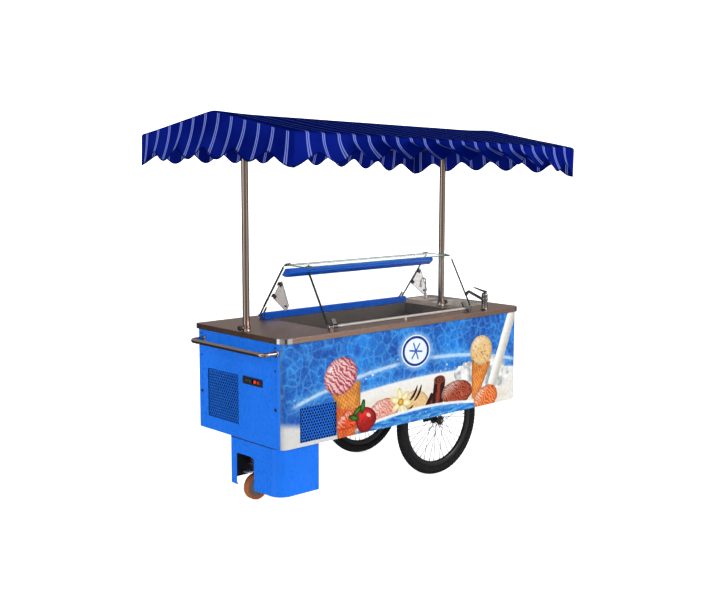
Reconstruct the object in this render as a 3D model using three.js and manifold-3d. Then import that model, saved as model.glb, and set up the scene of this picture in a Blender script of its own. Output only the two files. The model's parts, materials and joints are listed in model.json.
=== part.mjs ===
// Wheeled ice cream dipping cabinet: insulated well, sneeze guard, hand basin and striped canopy.
// Millimetres, +Z up, +X towards the basin end, -Y towards the customer. The dimensions below are
// measured from the middle of the body, on the ground; the finished cabinet is then shifted so
// that its origin is on the ground under the middle of its whole footprint.
import * as THREE from 'three';
import { mergeVertices } from 'three/addons/utils/BufferGeometryUtils.js';
import Module from 'manifold-3d';

const wasm = await Module();
wasm.setup();

// ---- driving dimensions -------------------------------------------------------------------
const GAP = 0.3;                 // running gap between neighbouring pieces
const HALF_LENGTH = 968;         // body, half of its length along X
const HALF_DEPTH = 378;          // body, half of its depth along Y
const BODY_BOTTOM = 372;
const COUNTER_TOP = 974;
const COUNTER_THICK = 31;        // height of the folded counter edge
const COUNTER_END = 977;         // half length of the counter
const COUNTER_SIDE = 397;        // half depth of the counter
const SHEET = 3;                 // body and counter sheet
const CORNER_RADIUS = 45;        // vertical corners of the front panel
const PANEL_TOP = COUNTER_TOP - COUNTER_THICK - GAP;

const WHEEL_X = 273;
const WHEEL_Y = 333;
const WHEEL_RADIUS = 335;        // 26 inch bicycle wheel
const TYRE_WIDTH = 54;
const TYRE_HEIGHT = 55;
const RIM_WIDTH = 30;
const SPOKES = 20;

const CASTER_RADIUS = 75;
const CASTER_WIDTH = 40;
const CASTER_X = -857;
const SWIVEL_X = -822;
const SKIRT = { left: -965, right: -683, front: -346, back: 84, bottom: 100, radius: 78 };

const POST_RADIUS = 19;
const POST_Y = -38;
const LEFT_POST_X = -942;
const RIGHT_POST_X = 612;
const POST_FOOT = COUNTER_TOP - 180;
const SOCKET_FOOT = 430;
const SOCKET_TOP = COUNTER_TOP + 30;
const SOCKET_WALL = 2;

const WELL = { left: -565, right: 550, front: -282, back: 222, depth: 235, radius: 34 };
const BASIN = { left: 672, right: 902, front: -165, back: 120, depth: 130, radius: 38 };
const DIPPER = { left: 688, right: 846, front: 222, back: 338, depth: 80, radius: 20 };

const GUARD_LEFT = -598;
const GUARD_RIGHT = 582;
const GLASS = 6;
const REAR_FOOT = new THREE.Vector2(292, 993);      // (y, z) of the rear glass hinge
const REAR_TOP = new THREE.Vector2(63, 1300);       // upper edge of the rear glass
const TOP_HINGE = new THREE.Vector2(60, 1307);      // hinge between rear and top glass
const TOP_FRONT = new THREE.Vector2(-145, 1307);    // front edge of the top glass
const FRONT_HINGE = new THREE.Vector2(-322, 993);   // (y, z) of the front rod
const FRONT_TOP = new THREE.Vector2(-150, 1293);    // upper edge of the front glass

const CANOPY_X = 6;
const CANOPY_Y = 20;
const CANOPY_HALF_LENGTH = 1119;
const CANOPY_HALF_WIDTH = 688;
const CANOPY_EAVE = 2011;        // eave height above the ground at the canopy's middle
const CANOPY_RISE = 85;          // ridge above the eaves at mid length
const CANOPY_PEAK = 25;          // extra height of the ridge at both gables
const CANOPY_TILT = 0.030;       // radians, lower at +X
const VALANCE = 182;             // drop of the hem below the eave
const CLOTH = 3;
const FRAME_RADIUS = 10;

// ---- materials ----------------------------------------------------------------------------
function finish(color, roughness, metalness) {
  return new THREE.MeshStandardMaterial({ color, roughness, metalness });
}
const BLUE = finish(0x1473e6, 0.35, 0.0);
const DEEP_BLUE = finish(0x1247b4, 0.4, 0.0);
const PRINT = finish(0x2a86d8, 0.4, 0.0);
const STEEL = finish(0x9a918a, 0.35, 1.0);
const CHROME = finish(0xd8dadd, 0.12, 1.0);
const ZINC = finish(0x8f9499, 0.5, 0.9);
const BLACK = finish(0x15161a, 0.5, 0.0);
const TYRE = finish(0x101113, 0.85, 0.0);
const TREAD = finish(0xa8541c, 0.5, 0.0);
const GLASS_FINISH = finish(0xcfe0dc, 0.05, 0.0);
const CLOTH_FINISH = finish(0x0a1f9a, 0.9, 0.0);
const FOAM = finish(0xe6dcc0, 0.9, 0.0);
const WHITE = finish(0xe4e8ea, 0.5, 0.0);
const RED = finish(0xc0261c, 0.4, 0.0);

// ---- joining and cutting ------------------------------------------------------------------
function solid(geometry) {
  const clean = geometry.clone();
  clean.deleteAttribute('normal');
  clean.deleteAttribute('uv');
  const merged = mergeVertices(clean, 1e-4);
  const vertProperties = new Float32Array(merged.attributes.position.array);
  const triVerts = new Uint32Array(merged.index.array);
  return new wasm.Manifold(new wasm.Mesh({ numProp: 3, vertProperties, triVerts }));
}

function geometryOf(manifold) {
  const mesh = manifold.getMesh();
  const geometry = new THREE.BufferGeometry();
  geometry.setAttribute('position', new THREE.BufferAttribute(mesh.vertProperties, 3));
  geometry.setIndex(new THREE.BufferAttribute(mesh.triVerts, 1));
  geometry.computeVertexNormals();
  return geometry;
}

function join(...geometries) {
  return geometryOf(geometries.map(solid).reduce((a, b) => a.add(b)));
}

function cut(geometry, ...tools) {
  return geometryOf(tools.map(solid).reduce((a, b) => a.subtract(b), solid(geometry)));
}

// ---- basic shapes -------------------------------------------------------------------------
// A box from its lowest corner to its highest corner.
function block(x0, y0, z0, x1, y1, z1) {
  const box = new THREE.BoxGeometry(x1 - x0, y1 - y0, z1 - z0);
  return box.translate((x0 + x1) / 2, (y0 + y1) / 2, (z0 + z1) / 2);
}

// A round bar between two points given as [x, y, z].
function rod(from, to, radius, segments = 12) {
  const a = new THREE.Vector3(...from);
  const b = new THREE.Vector3(...to);
  const bar = new THREE.CylinderGeometry(radius, radius, a.distanceTo(b), segments);
  const turn = new THREE.Quaternion();
  turn.setFromUnitVectors(new THREE.Vector3(0, 1, 0), b.clone().sub(a).normalize());
  return bar.applyQuaternion(turn).translate((a.x + b.x) / 2, (a.y + b.y) / 2, (a.z + b.z) / 2);
}

// A hollow tube between two points: the bar minus its bore, which runs past both ends.
function pipe(from, to, outer, inner, segments = 16) {
  const a = new THREE.Vector3(...from);
  const b = new THREE.Vector3(...to);
  const past = b.clone().sub(a).normalize();
  const bore = rod(a.clone().sub(past).toArray(), b.clone().add(past).toArray(), inner, segments);
  return cut(rod(from, to, outer, segments), bore);
}

// A round bar bent along points, with filleted corners.
function bentRod(points, radius, fillet, sides = 10) {
  const path = new THREE.CurvePath();
  let start = new THREE.Vector3(...points[0]);
  for (let i = 1; i < points.length - 1; i += 1) {
    const corner = new THREE.Vector3(...points[i]);
    const next = new THREE.Vector3(...points[i + 1]);
    const into = corner.clone().addScaledVector(start.clone().sub(corner).normalize(), fillet);
    const out = corner.clone().addScaledVector(next.clone().sub(corner).normalize(), fillet);
    path.add(new THREE.LineCurve3(start, into));
    path.add(new THREE.QuadraticBezierCurve3(into, corner, out));
    start = out;
  }
  path.add(new THREE.LineCurve3(start, new THREE.Vector3(...points.at(-1))));
  const ring = new THREE.Shape();
  ring.absarc(0, 0, radius, 0, 2 * Math.PI);
  const steps = 4 * points.length;
  const options = { steps, extrudePath: path, curveSegments: sides / 2, bevelEnabled: false };
  return new THREE.ExtrudeGeometry(ring, options);
}

// A rectangle with one radius for each corner, from front left, counter-clockwise.
function roundedRectangle(x0, y0, x1, y1, radii) {
  const [frontLeft, frontRight, backRight, backLeft] = radii;
  const shape = new THREE.Shape();
  shape.moveTo(x0 + frontLeft, y0);
  shape.lineTo(x1 - frontRight, y0);
  if (frontRight) shape.absarc(x1 - frontRight, y0 + frontRight, frontRight, -Math.PI / 2, 0);
  shape.lineTo(x1, y1 - backRight);
  if (backRight) shape.absarc(x1 - backRight, y1 - backRight, backRight, 0, Math.PI / 2);
  shape.lineTo(x0 + backLeft, y1);
  if (backLeft) shape.absarc(x0 + backLeft, y1 - backLeft, backLeft, Math.PI / 2, Math.PI);
  shape.lineTo(x0, y0 + frontLeft);
  if (frontLeft) shape.absarc(x0 + frontLeft, y0 + frontLeft, frontLeft, Math.PI, 1.5 * Math.PI);
  return shape;
}

// Raise a plan outline from z0 to z1.
function raise(shape, z0, z1, curveSegments = 3) {
  const options = { depth: z1 - z0, bevelEnabled: false, curveSegments };
  return new THREE.ExtrudeGeometry(shape, options).translate(0, 0, z0);
}

// The plan outline of an opening, grown outwards by a margin.
function openingOutline(opening, margin) {
  const radius = opening.radius + margin;
  const { left, right, front, back } = opening;
  const corners = [radius, radius, radius, radius];
  return roundedRectangle(left - margin, front - margin, right + margin, back + margin, corners);
}

// A round solid turned about the Y axis from (radius, y) points, centred at x, z.
function turnedOnY(profile, x, z, segments = 24) {
  const points = profile.map(([radius, y]) => new THREE.Vector2(radius, y));
  return new THREE.LatheGeometry(points, segments).translate(x, 0, z);
}

// A round solid turned about a vertical axis from (radius, z) points.
function turnedOnZ(profile, x, y, segments = 16) {
  const points = profile.map(([radius, z]) => new THREE.Vector2(radius, z));
  return new THREE.LatheGeometry(points, segments).rotateX(Math.PI / 2).translate(x, y, 0);
}

// ---- assembly -----------------------------------------------------------------------------
const cabinet = new THREE.Group();

function add(name, geometry, material, parent = cabinet) {
  const mesh = new THREE.Mesh(geometry, material);
  mesh.name = name;
  parent.add(mesh);
  return mesh;
}

// ---- chassis, axle and wheels -------------------------------------------------------------
const RAIL_Y = 262;
const RAIL_TOP = 402;
const CROSS_BARS = [-930, -655, -105, 645, 930];

function chassisFrame() {
  const rails = [-RAIL_Y, RAIL_Y].map((y) => block(-945, y - 15, BODY_BOTTOM, 945, y + 15, RAIL_TOP));
  const bars = CROSS_BARS.map((x) => block(x - 15, -365, BODY_BOTTOM, x + 15, 365, RAIL_TOP));
  return join(...rails, ...bars);
}

// The floor sheet, slotted above the wheels.
function basePan() {
  const outline = roundedRectangle(-960, -370, 960, 370, [CORNER_RADIUS, CORNER_RADIUS, 0, 0]);
  const floor = raise(outline, RAIL_TOP + GAP, RAIL_TOP + SHEET, 5);
  const reach = WHEEL_RADIUS + 12;
  const slots = [-1, 1].map((side) => {
    const inner = side * (WHEEL_Y - TYRE_WIDTH / 2 - 8);
    const outer = side * (HALF_DEPTH + 5);
    const y0 = Math.min(inner, outer);
    const y1 = Math.max(inner, outer);
    return block(WHEEL_X - reach, y0, RAIL_TOP - 5, WHEEL_X + reach, y1, RAIL_TOP + 10);
  });
  return cut(floor, ...slots);
}

// Tube axle with thinner stubs for the hubs, hung from the chassis on two welded plates.
function axle() {
  const tubeEnd = WHEEL_Y - 42;
  const stubEnd = WHEEL_Y + 36;
  const profile = [
    [0, -stubEnd], [6, -stubEnd], [6, -tubeEnd], [14, -tubeEnd],
    [14, tubeEnd], [6, tubeEnd], [6, stubEnd], [0, stubEnd],
  ];
  const bar = turnedOnY(profile, WHEEL_X, WHEEL_RADIUS, 12);
  const hangers = [-RAIL_Y, RAIL_Y].map((y) =>
    block(WHEEL_X - 45, y - 4, WHEEL_RADIUS - 22, WHEEL_X + 45, y + 4, BODY_BOTTOM - GAP));
  return join(bar, ...hangers);
}

const RIM_OUTER = WHEEL_RADIUS - TYRE_HEIGHT;
const RIM_INNER = RIM_OUTER - 24;

function tyre(y) {
  const half = TYRE_WIDTH / 2;
  const middle = WHEEL_RADIUS - TYRE_HEIGHT / 2;
  const profile = [];
  const steps = 8;
  for (let i = 0; i <= steps; i += 1) {
    const angle = (2 * Math.PI * i) / steps;
    profile.push([middle + (TYRE_HEIGHT / 2 - GAP) * Math.cos(angle), y + half * Math.sin(angle)]);
  }
  profile[steps] = profile[0];
  return turnedOnY(profile, WHEEL_X, WHEEL_RADIUS, 32);
}

function rim(y) {
  const half = RIM_WIDTH / 2;
  const profile = [
    [RIM_INNER, y - 7], [RIM_OUTER - 8, y - half], [RIM_OUTER - GAP, y - 8],
    [RIM_OUTER - GAP, y + 8], [RIM_OUTER - 8, y + half], [RIM_INNER, y + 7], [RIM_INNER, y - 7],
  ];
  return turnedOnY(profile, WHEEL_X, WHEEL_RADIUS, 32);
}

// Hub shell with two flanges and raked spokes that stop just inside the rim.
function spokedHub(y) {
  const flangeY = 26;
  const flangeRadius = 27;
  const shell = [
    [6 + GAP, y - 33], [13, y - 33], [13, y - flangeY - 2], [flangeRadius, y - flangeY - 2],
    [flangeRadius, y - flangeY + 2], [16, y - flangeY + 2], [16, y + flangeY - 2],
    [flangeRadius, y + flangeY - 2], [flangeRadius, y + flangeY + 2], [13, y + flangeY + 2],
    [13, y + 33], [6 + GAP, y + 33], [6 + GAP, y - 33],
  ];
  const pieces = [turnedOnY(shell, WHEEL_X, WHEEL_RADIUS, 12)];
  const rake = 0.95;               // radians between a spoke's two ends, round the hub
  for (let i = 0; i < SPOKES; i += 1) {
    const side = i % 2 ? 1 : -1;
    const outerAngle = (2 * Math.PI * (i + 0.5)) / SPOKES;
    const innerAngle = outerAngle + side * rake;
    const inner = flangeRadius - 4;
    const outer = RIM_INNER - 3;
    const from = [
      WHEEL_X + inner * Math.cos(innerAngle), y + side * flangeY,
      WHEEL_RADIUS + inner * Math.sin(innerAngle),
    ];
    const to = [
      WHEEL_X + outer * Math.cos(outerAngle), y + side * 2,
      WHEEL_RADIUS + outer * Math.sin(outerAngle),
    ];
    pieces.push(rod(from, to, 1.5, 3));
  }
  return join(...pieces);
}

add('chassis_frame', chassisFrame(), ZINC);
add('base_pan', basePan(), ZINC);
add('axle', axle(), BLACK);
for (const [side, y] of [['near', -WHEEL_Y], ['far', WHEEL_Y]]) {
  add(`tyre_${side}`, tyre(y), TYRE);
  add(`rim_${side}`, rim(y), BLACK);
  add(`spoked_hub_${side}`, spokedHub(y), CHROME);
}

// ---- caster, its leg and its skirt --------------------------------------------------------
const FORK_TOP = 190;
const LEG_FOOT = FORK_TOP + 6;

// Square leg down from the chassis, ending in the caster's bolting plate.
function casterLeg() {
  const leg = block(SWIVEL_X - 40, -40, LEG_FOOT, SWIVEL_X + 40, 40, BODY_BOTTOM - GAP);
  const plate = block(SWIVEL_X - 55, -48, LEG_FOOT, SWIVEL_X + 55, 48, LEG_FOOT + 6);
  const flange = block(SWIVEL_X - 70, -90, BODY_BOTTOM - 8, SWIVEL_X + 70, 90, BODY_BOTTOM - GAP);
  return join(leg, plate, flange);
}

// Swivel head, two cheeks raked back to the axle, and the axle bolt between them.
function casterFork() {
  const head = turnedOnZ([[0, 170], [34, 170], [34, 184], [26, 184], [26, 195.5], [0, 195.5]], SWIVEL_X, 0);
  const inside = CASTER_WIDTH / 2 + 4;
  const bridge = block(SWIVEL_X - 34, -inside - 4, 164, SWIVEL_X + 30, inside + 4, 172);
  const cheeks = [-1, 1].map((side) => {
    const outline = new THREE.Shape();
    outline.moveTo(SWIVEL_X - 34, 172);
    outline.lineTo(CASTER_X - 16, CASTER_RADIUS);
    outline.absarc(CASTER_X, CASTER_RADIUS, 16, Math.PI, 2 * Math.PI);
    outline.lineTo(SWIVEL_X + 30, 172);
    const cheek = new THREE.ExtrudeGeometry(outline, { depth: 4, bevelEnabled: false, curveSegments: 6 });
    return cheek.rotateX(Math.PI / 2).translate(0, side > 0 ? inside + 4 : -inside, 0);
  });
  const reach = inside + 8;
  const bolt = rod([CASTER_X, -reach, CASTER_RADIUS], [CASTER_X, reach, CASTER_RADIUS], 6, 12);
  return join(head, bridge, ...cheeks, bolt);
}

function casterWheel() {
  const half = CASTER_WIDTH / 2;
  const bore = 6 + GAP;
  const profile = [
    [bore, -half - 3], [18, -half - 3], [CASTER_RADIUS - 18, -half + 6],
    [CASTER_RADIUS - 5, -half], [CASTER_RADIUS, -half + 8],
    [CASTER_RADIUS, half - 8], [CASTER_RADIUS - 5, half],
    [CASTER_RADIUS - 18, half - 6], [18, half + 3], [bore, half + 3], [bore, -half - 3],
  ];
  return turnedOnY(profile, CASTER_X, CASTER_RADIUS, 20);
}

// Foot pedal behind the wheel, pivoted on a boss beside the fork's bridge.
const PEDAL_X = SWIVEL_X - 44;
const PEDAL_Z = 168;
function brakePedal() {
  const boss = rod([PEDAL_X, -18, PEDAL_Z], [PEDAL_X, 18, PEDAL_Z], 6, 12);
  const arm = block(PEDAL_X - 52, -16, PEDAL_Z - 3, PEDAL_X, 16, PEDAL_Z + 3);
  const tread = block(PEDAL_X - 66, -20, PEDAL_Z - 3, PEDAL_X - 44, 20, PEDAL_Z + 7);
  return join(boss, arm, tread);
}

// Sheet box round the caster: three sides in plan, open at the back, with a notch at the end.
function casterSkirt() {
  const { left, right, front, back, bottom, radius } = SKIRT;
  const top = BODY_BOTTOM - GAP;
  const outer = raise(roundedRectangle(left, front, right, back, [radius, 6, 0, 0]), bottom, top, 8);
  const inside = roundedRectangle(left + 2, front + 2, right - 2, back + 20, [radius - 2, 4, 0, 0]);
  const hollow = raise(inside, bottom - 5, top + 5, 8);
  const notch = new THREE.Shape();
  notch.moveTo(-124, bottom - 10);
  notch.lineTo(-124, 258);
  notch.absarc(-99, 258, 25, Math.PI, Math.PI / 2, true);
  notch.lineTo(20, 283);
  notch.absarc(20, 270, 13, Math.PI / 2, 0, true);
  notch.lineTo(33, bottom + 14);
  notch.lineTo(12, bottom - 10);
  const tool = new THREE.ExtrudeGeometry(notch, { depth: 60, bevelEnabled: false, curveSegments: 6 });
  tool.rotateX(Math.PI / 2).rotateZ(Math.PI / 2).translate(left - 20, 0, 0);
  const skirt = cut(outer, hollow, tool);
  const lip = block(left + 2 - GAP, 70, top - 30, left + 26, 84, top);
  return join(skirt, lip);
}

add('caster_leg', casterLeg(), ZINC);
add('caster_fork', casterFork(), CHROME);
add('caster_wheel', casterWheel(), TREAD);
add('brake_pedal', brakePedal(), ZINC);
add('caster_skirt', casterSkirt(), BLUE);

// ---- body panels --------------------------------------------------------------------------
const LEFT_VENT = { y0: 6, y1: 295, z0: 450, z1: 727 };
const FRONT_VENT = { x0: -846, x1: -584, z0: 394, z1: 584 };
const CONTROL = { y0: -213, y1: -38, z0: 689, z1: 731 };
const DOOR = { x0: 655, x1: 935, z0: 410, z1: 800 };
const END_PANEL_FRONT = -HALF_DEPTH + CORNER_RADIUS + GAP;
const VENT_MARGIN = 8;

function endPanel(side) {
  const outer = side * HALF_LENGTH;
  const inner = side * (HALF_LENGTH - SHEET);
  const x0 = Math.min(outer, inner);
  const x1 = Math.max(outer, inner);
  return block(x0, END_PANEL_FRONT, BODY_BOTTOM, x1, HALF_DEPTH, PANEL_TOP);
}

function leftEndPanel() {
  const x0 = -HALF_LENGTH - 5;
  const x1 = -HALF_LENGTH + SHEET + 5;
  const vent = block(x0, LEFT_VENT.y0, LEFT_VENT.z0, x1, LEFT_VENT.y1, LEFT_VENT.z1);
  const control = block(x0, CONTROL.y0 + 6, CONTROL.z0 + 6, x1, CONTROL.y1 - 6, CONTROL.z1 - 6);
  return cut(endPanel(-1), vent, control);
}

// One sheet across the front, bent round both vertical corners.
function frontWrapPanel() {
  const back = -HALF_DEPTH + CORNER_RADIUS;
  const rounds = [CORNER_RADIUS, CORNER_RADIUS, 0, 0];
  const outer = roundedRectangle(-HALF_LENGTH, -HALF_DEPTH, HALF_LENGTH, back, rounds);
  const innerRounds = [CORNER_RADIUS - SHEET, CORNER_RADIUS - SHEET, 0, 0];
  const inner = roundedRectangle(
    -HALF_LENGTH + SHEET, -HALF_DEPTH + SHEET, HALF_LENGTH - SHEET, back + 10, innerRounds);
  const sheet = raise(outer, BODY_BOTTOM, PANEL_TOP, 8);
  const hollow = raise(inner, BODY_BOTTOM - 5, PANEL_TOP + 5, 8);
  const vent = block(
    FRONT_VENT.x0, -HALF_DEPTH - 5, FRONT_VENT.z0, FRONT_VENT.x1, -HALF_DEPTH + 10, FRONT_VENT.z1);
  return cut(sheet, hollow, vent);
}

function backPanel() {
  const edge = HALF_LENGTH - SHEET - GAP;
  const sheet = block(-edge, HALF_DEPTH - SHEET, BODY_BOTTOM, edge, HALF_DEPTH, PANEL_TOP);
  const opening = block(
    DOOR.x0, HALF_DEPTH - 10, DOOR.z0, DOOR.x1, HALF_DEPTH + 10, DOOR.z1);
  return cut(sheet, opening);
}

// Hinged at its edge nearest the basin end, with a knuckle bar outside the panel.
const DOOR_HINGE = { x: DOOR.x1 + 4, y: HALF_DEPTH + 6 };
function serviceDoor() {
  const leaf = block(
    DOOR.x0 - 10, HALF_DEPTH + 1, DOOR.z0 - 10, DOOR.x1 - 2, HALF_DEPTH + 4, DOOR.z1 + 10);
  const arm = block(
    DOOR.x1 - 6, HALF_DEPTH + 2, DOOR.z0 + 20, DOOR_HINGE.x, HALF_DEPTH + 5, DOOR.z1 - 20);
  const knuckle = rod(
    [DOOR_HINGE.x, DOOR_HINGE.y, DOOR.z0 + 20], [DOOR_HINGE.x, DOOR_HINGE.y, DOOR.z1 - 20], 4.5, 12);
  const latchHole = rod(
    [DOOR.x0 + 22, HALF_DEPTH - 5, 620], [DOOR.x0 + 22, HALF_DEPTH + 10, 620], 6.5, 16);
  return cut(join(leaf, arm, knuckle), latchHole);
}

// Quarter-turn latch, drawn released: knob outside, shank through the door, cam upright inside.
// Turned a quarter it carries the cam behind the edge of the back panel.
function doorLatch() {
  const x = DOOR.x0 + 22;
  const shank = rod([x, HALF_DEPTH - 12, 620], [x, HALF_DEPTH + 6, 620], 6, 16);
  const knob = rod([x, HALF_DEPTH + 5, 620], [x, HALF_DEPTH + 12, 620], 13, 20);
  const grip = block(x - 3, HALF_DEPTH + 10, 608, x + 3, HALF_DEPTH + 18, 632);
  const cam = block(x - 7, HALF_DEPTH - 12, 614, x + 7, HALF_DEPTH - 8, 654);
  return join(shank, knob, grip, cam);
}

// A vent plate behind its opening, pierced by a grid of windows. Its face lies in the XZ plane.
function grille(width, height, columns, rows) {
  const plate = block(0, 0, 0, width, 2, height);
  const edge = 10;
  const pitchX = (width - 2 * edge) / columns;
  const pitchZ = (height - 2 * edge) / rows;
  const bar = 6;
  const windows = [];
  for (let i = 0; i < columns; i += 1) {
    for (let k = 0; k < rows; k += 1) {
      const x0 = edge + i * pitchX + bar / 2;
      const z0 = edge + k * pitchZ + bar / 2;
      windows.push(block(x0, -5, z0, x0 + pitchX - bar, 7, z0 + pitchZ - bar));
    }
  }
  return cut(plate, ...windows);
}

add('left_end_panel', leftEndPanel(), BLUE);
add('front_wrap_panel', frontWrapPanel(), PRINT);
add('right_end_panel', endPanel(1), BLUE);
add('back_panel', backPanel(), BLUE);
add('service_door', serviceDoor(), BLUE);
add('door_latch', doorLatch(), CHROME);

const leftGrille = add(
  'left_vent_grille',
  grille(LEFT_VENT.y1 - LEFT_VENT.y0 + 2 * VENT_MARGIN, LEFT_VENT.z1 - LEFT_VENT.z0 + 2 * VENT_MARGIN, 3, 4),
  BLUE);
leftGrille.rotation.z = Math.PI / 2;
leftGrille.position.set(
  -HALF_LENGTH + SHEET + 2 + GAP, LEFT_VENT.y0 - VENT_MARGIN, LEFT_VENT.z0 - VENT_MARGIN);

const frontGrille = add(
  'front_vent_grille',
  grille(FRONT_VENT.x1 - FRONT_VENT.x0 + 2 * VENT_MARGIN, FRONT_VENT.z1 - FRONT_VENT.z0 + 2 * VENT_MARGIN, 3, 3),
  BLUE);
frontGrille.position.set(
  FRONT_VENT.x0 - VENT_MARGIN, -HALF_DEPTH + SHEET + GAP, FRONT_VENT.z0 - VENT_MARGIN);

// ---- push handle and control plate --------------------------------------------------------
const HANDLE_Z = 890;
const HANDLE_HALF = 332;
const HANDLE_REACH = 88;

function pushHandle() {
  const wall = -HALF_LENGTH - GAP;
  const out = wall - HANDLE_REACH;
  const bar = bentRod(
    [[wall, HANDLE_HALF, HANDLE_Z], [out, HANDLE_HALF, HANDLE_Z],
      [out, -HANDLE_HALF, HANDLE_Z], [wall, -HANDLE_HALF, HANDLE_Z]], 13, 60, 10);
  const roses = [-HANDLE_HALF, HANDLE_HALF].map((y) =>
    rod([wall, y, HANDLE_Z], [wall - 4, y, HANDLE_Z], 20, 12));
  return join(bar, ...roses);
}

// Bezel and housing, recessed for the display, with pockets for the two keys and the switch.
const KEY_Y = [-78, -106];
const SWITCH_Y = -178;
const CONTROL_MIDDLE = (CONTROL.z0 + CONTROL.z1) / 2;
const CONTROL_FACE = -HALF_LENGTH - 4;

function controlPlate() {
  const bezel = block(
    CONTROL_FACE, CONTROL.y0, CONTROL.z0, -HALF_LENGTH - GAP, CONTROL.y1, CONTROL.z1);
  const housing = block(
    CONTROL_FACE + 1, CONTROL.y0 + 8, CONTROL.z0 + 8,
    -HALF_LENGTH + 60, CONTROL.y1 - 28, CONTROL.z1 - 8);
  const pockets = KEY_Y.map((y) => block(
    CONTROL_FACE - 5, y - 8, CONTROL_MIDDLE - 6, CONTROL_FACE + 6, y + 8, CONTROL_MIDDLE + 6));
  const well = block(
    CONTROL_FACE - 5, SWITCH_Y - 12, CONTROL_MIDDLE - 10,
    CONTROL_FACE + 14, SWITCH_Y + 12, CONTROL_MIDDLE + 10);
  return cut(join(bezel, housing), ...pockets, well);
}

function controlKey(y) {
  return block(
    CONTROL_FACE - 2, y - 7, CONTROL_MIDDLE - 5, CONTROL_FACE + 4, y + 7, CONTROL_MIDDLE + 5);
}

// Rocker with a shallow vee on its face, pivoted across the plate.
function powerSwitch() {
  const outline = new THREE.Shape();
  outline.moveTo(-9, 4);
  outline.lineTo(-8, -5);
  outline.lineTo(8, -5);
  outline.lineTo(9, 4);
  outline.lineTo(0, 2);
  const rocker = new THREE.ExtrudeGeometry(outline, { depth: 16, bevelEnabled: false });
  rocker.translate(0, 0, -8).rotateZ(Math.PI / 2);
  return rocker.translate(CONTROL_FACE + 3, SWITCH_Y, CONTROL_MIDDLE);
}

add('push_handle', pushHandle(), STEEL);
add('control_plate', controlPlate(), BLACK);
add('mode_key', controlKey(KEY_Y[0]), BLACK);
add('set_key', controlKey(KEY_Y[1]), BLACK);
add('power_switch', powerSwitch(), RED);

// ---- counter, well and basins -------------------------------------------------------------
const MIXER = { x: 686, y: -340 };
const TAP = { x: 878, y: 352 };

// Folded sheet counter, hollow below, with the openings for well, basins, posts and taps.
function countertop() {
  const rounds = [66, 66, 12, 12];
  const outline = roundedRectangle(-COUNTER_END, -COUNTER_SIDE, COUNTER_END, COUNTER_SIDE, rounds);
  const inner = roundedRectangle(
    -COUNTER_END + SHEET, -COUNTER_SIDE + SHEET, COUNTER_END - SHEET, COUNTER_SIDE - SHEET,
    rounds.map((radius) => radius - SHEET));
  const slab = raise(outline, COUNTER_TOP - COUNTER_THICK, COUNTER_TOP, 5);
  const hollow = raise(inner, COUNTER_TOP - COUNTER_THICK - 5, COUNTER_TOP - SHEET, 5);
  const openings = [WELL, BASIN, DIPPER].map((opening) =>
    raise(openingOutline(opening, 0), COUNTER_TOP - 20, COUNTER_TOP + 5));
  const holes = [[LEFT_POST_X, POST_Y, 23], [RIGHT_POST_X, POST_Y, 23], [MIXER.x, MIXER.y, 12],
    [TAP.x, TAP.y, 8]].map(([x, y, radius]) =>
    rod([x, y, COUNTER_TOP - 20], [x, y, COUNTER_TOP + 5], radius, 12));
  return cut(slab, hollow, ...openings, ...holes);
}

// An open-topped tray that hangs in a counter opening.
function tray(opening, wall) {
  const floor = COUNTER_TOP - opening.depth;
  const outer = raise(openingOutline(opening, -GAP), floor - wall, COUNTER_TOP);
  const inner = raise(openingOutline(opening, -GAP - wall), floor, COUNTER_TOP + 5);
  return cut(outer, inner);
}

// A tray with a drain stub under its floor.
function drainedTray(opening, wall) {
  const x = (opening.left + opening.right) / 2;
  const y = (opening.front + opening.back) / 2;
  const floor = COUNTER_TOP - opening.depth;
  const stub = rod([x, y, floor - 40], [x, y, floor - wall / 2], 16, 12);
  const bore = rod([x, y, floor - 45], [x, y, floor + 5], 12, 12);
  return cut(join(tray(opening, wall), stub), bore);
}

// Foamed casing round the well, open at the top.
function tankInsulation() {
  const floor = COUNTER_TOP - WELL.depth;
  const top = COUNTER_TOP - SHEET - GAP;
  const casing = block(WELL.left - 38, WELL.front - 42, floor - 45, WELL.right + 30, WELL.back + 42, top);
  const hollow = raise(openingOutline(WELL, GAP), floor - 2 - 2 * GAP, COUNTER_TOP + 5);
  return cut(casing, hollow);
}

add('countertop', countertop(), STEEL);
add('well_liner', tray(WELL, 2), STEEL);
add('tank_insulation', tankInsulation(), FOAM);
add('hand_basin', drainedTray(BASIN, 2), STEEL);
add('dipper_well', drainedTray(DIPPER, 2), STEEL);

// ---- taps ---------------------------------------------------------------------------------
const SPOUT_YAW = -0.21;           // radians, mixer parts turned from +Y towards +X
const MIXER_SEAT = 52;             // height of the spout ring above the counter
const MIXER_SHOULDER = 76;
const mixer = new THREE.Group();
mixer.position.set(MIXER.x, MIXER.y, COUNTER_TOP);
mixer.rotation.z = SPOUT_YAW;
cabinet.add(mixer);

// Body with a foot flange, a waist that carries the spout ring and a tail through the counter.
function mixerBody() {
  return turnedOnZ([
    [0, -45], [9, -45], [9, GAP], [24, GAP], [24, 5], [19, 9], [19, MIXER_SEAT - GAP],
    [15, MIXER_SEAT - GAP], [15, MIXER_SHOULDER], [0, MIXER_SHOULDER],
  ], 0, 0);
}

// Ring round the waist and a slim tube that rises towards the basin.
function mixerSpout() {
  const ring = [[15 + GAP, MIXER_SEAT], [20, MIXER_SEAT], [20, MIXER_SHOULDER - 2],
    [15 + GAP, MIXER_SHOULDER - 2], [15 + GAP, MIXER_SEAT]];
  const tube = bentRod([[0, 18, 62], [0, 168, 96], [0, 190, 78]], 9, 12, 10);
  return join(turnedOnZ(ring, 0, 0), tube);
}

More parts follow.
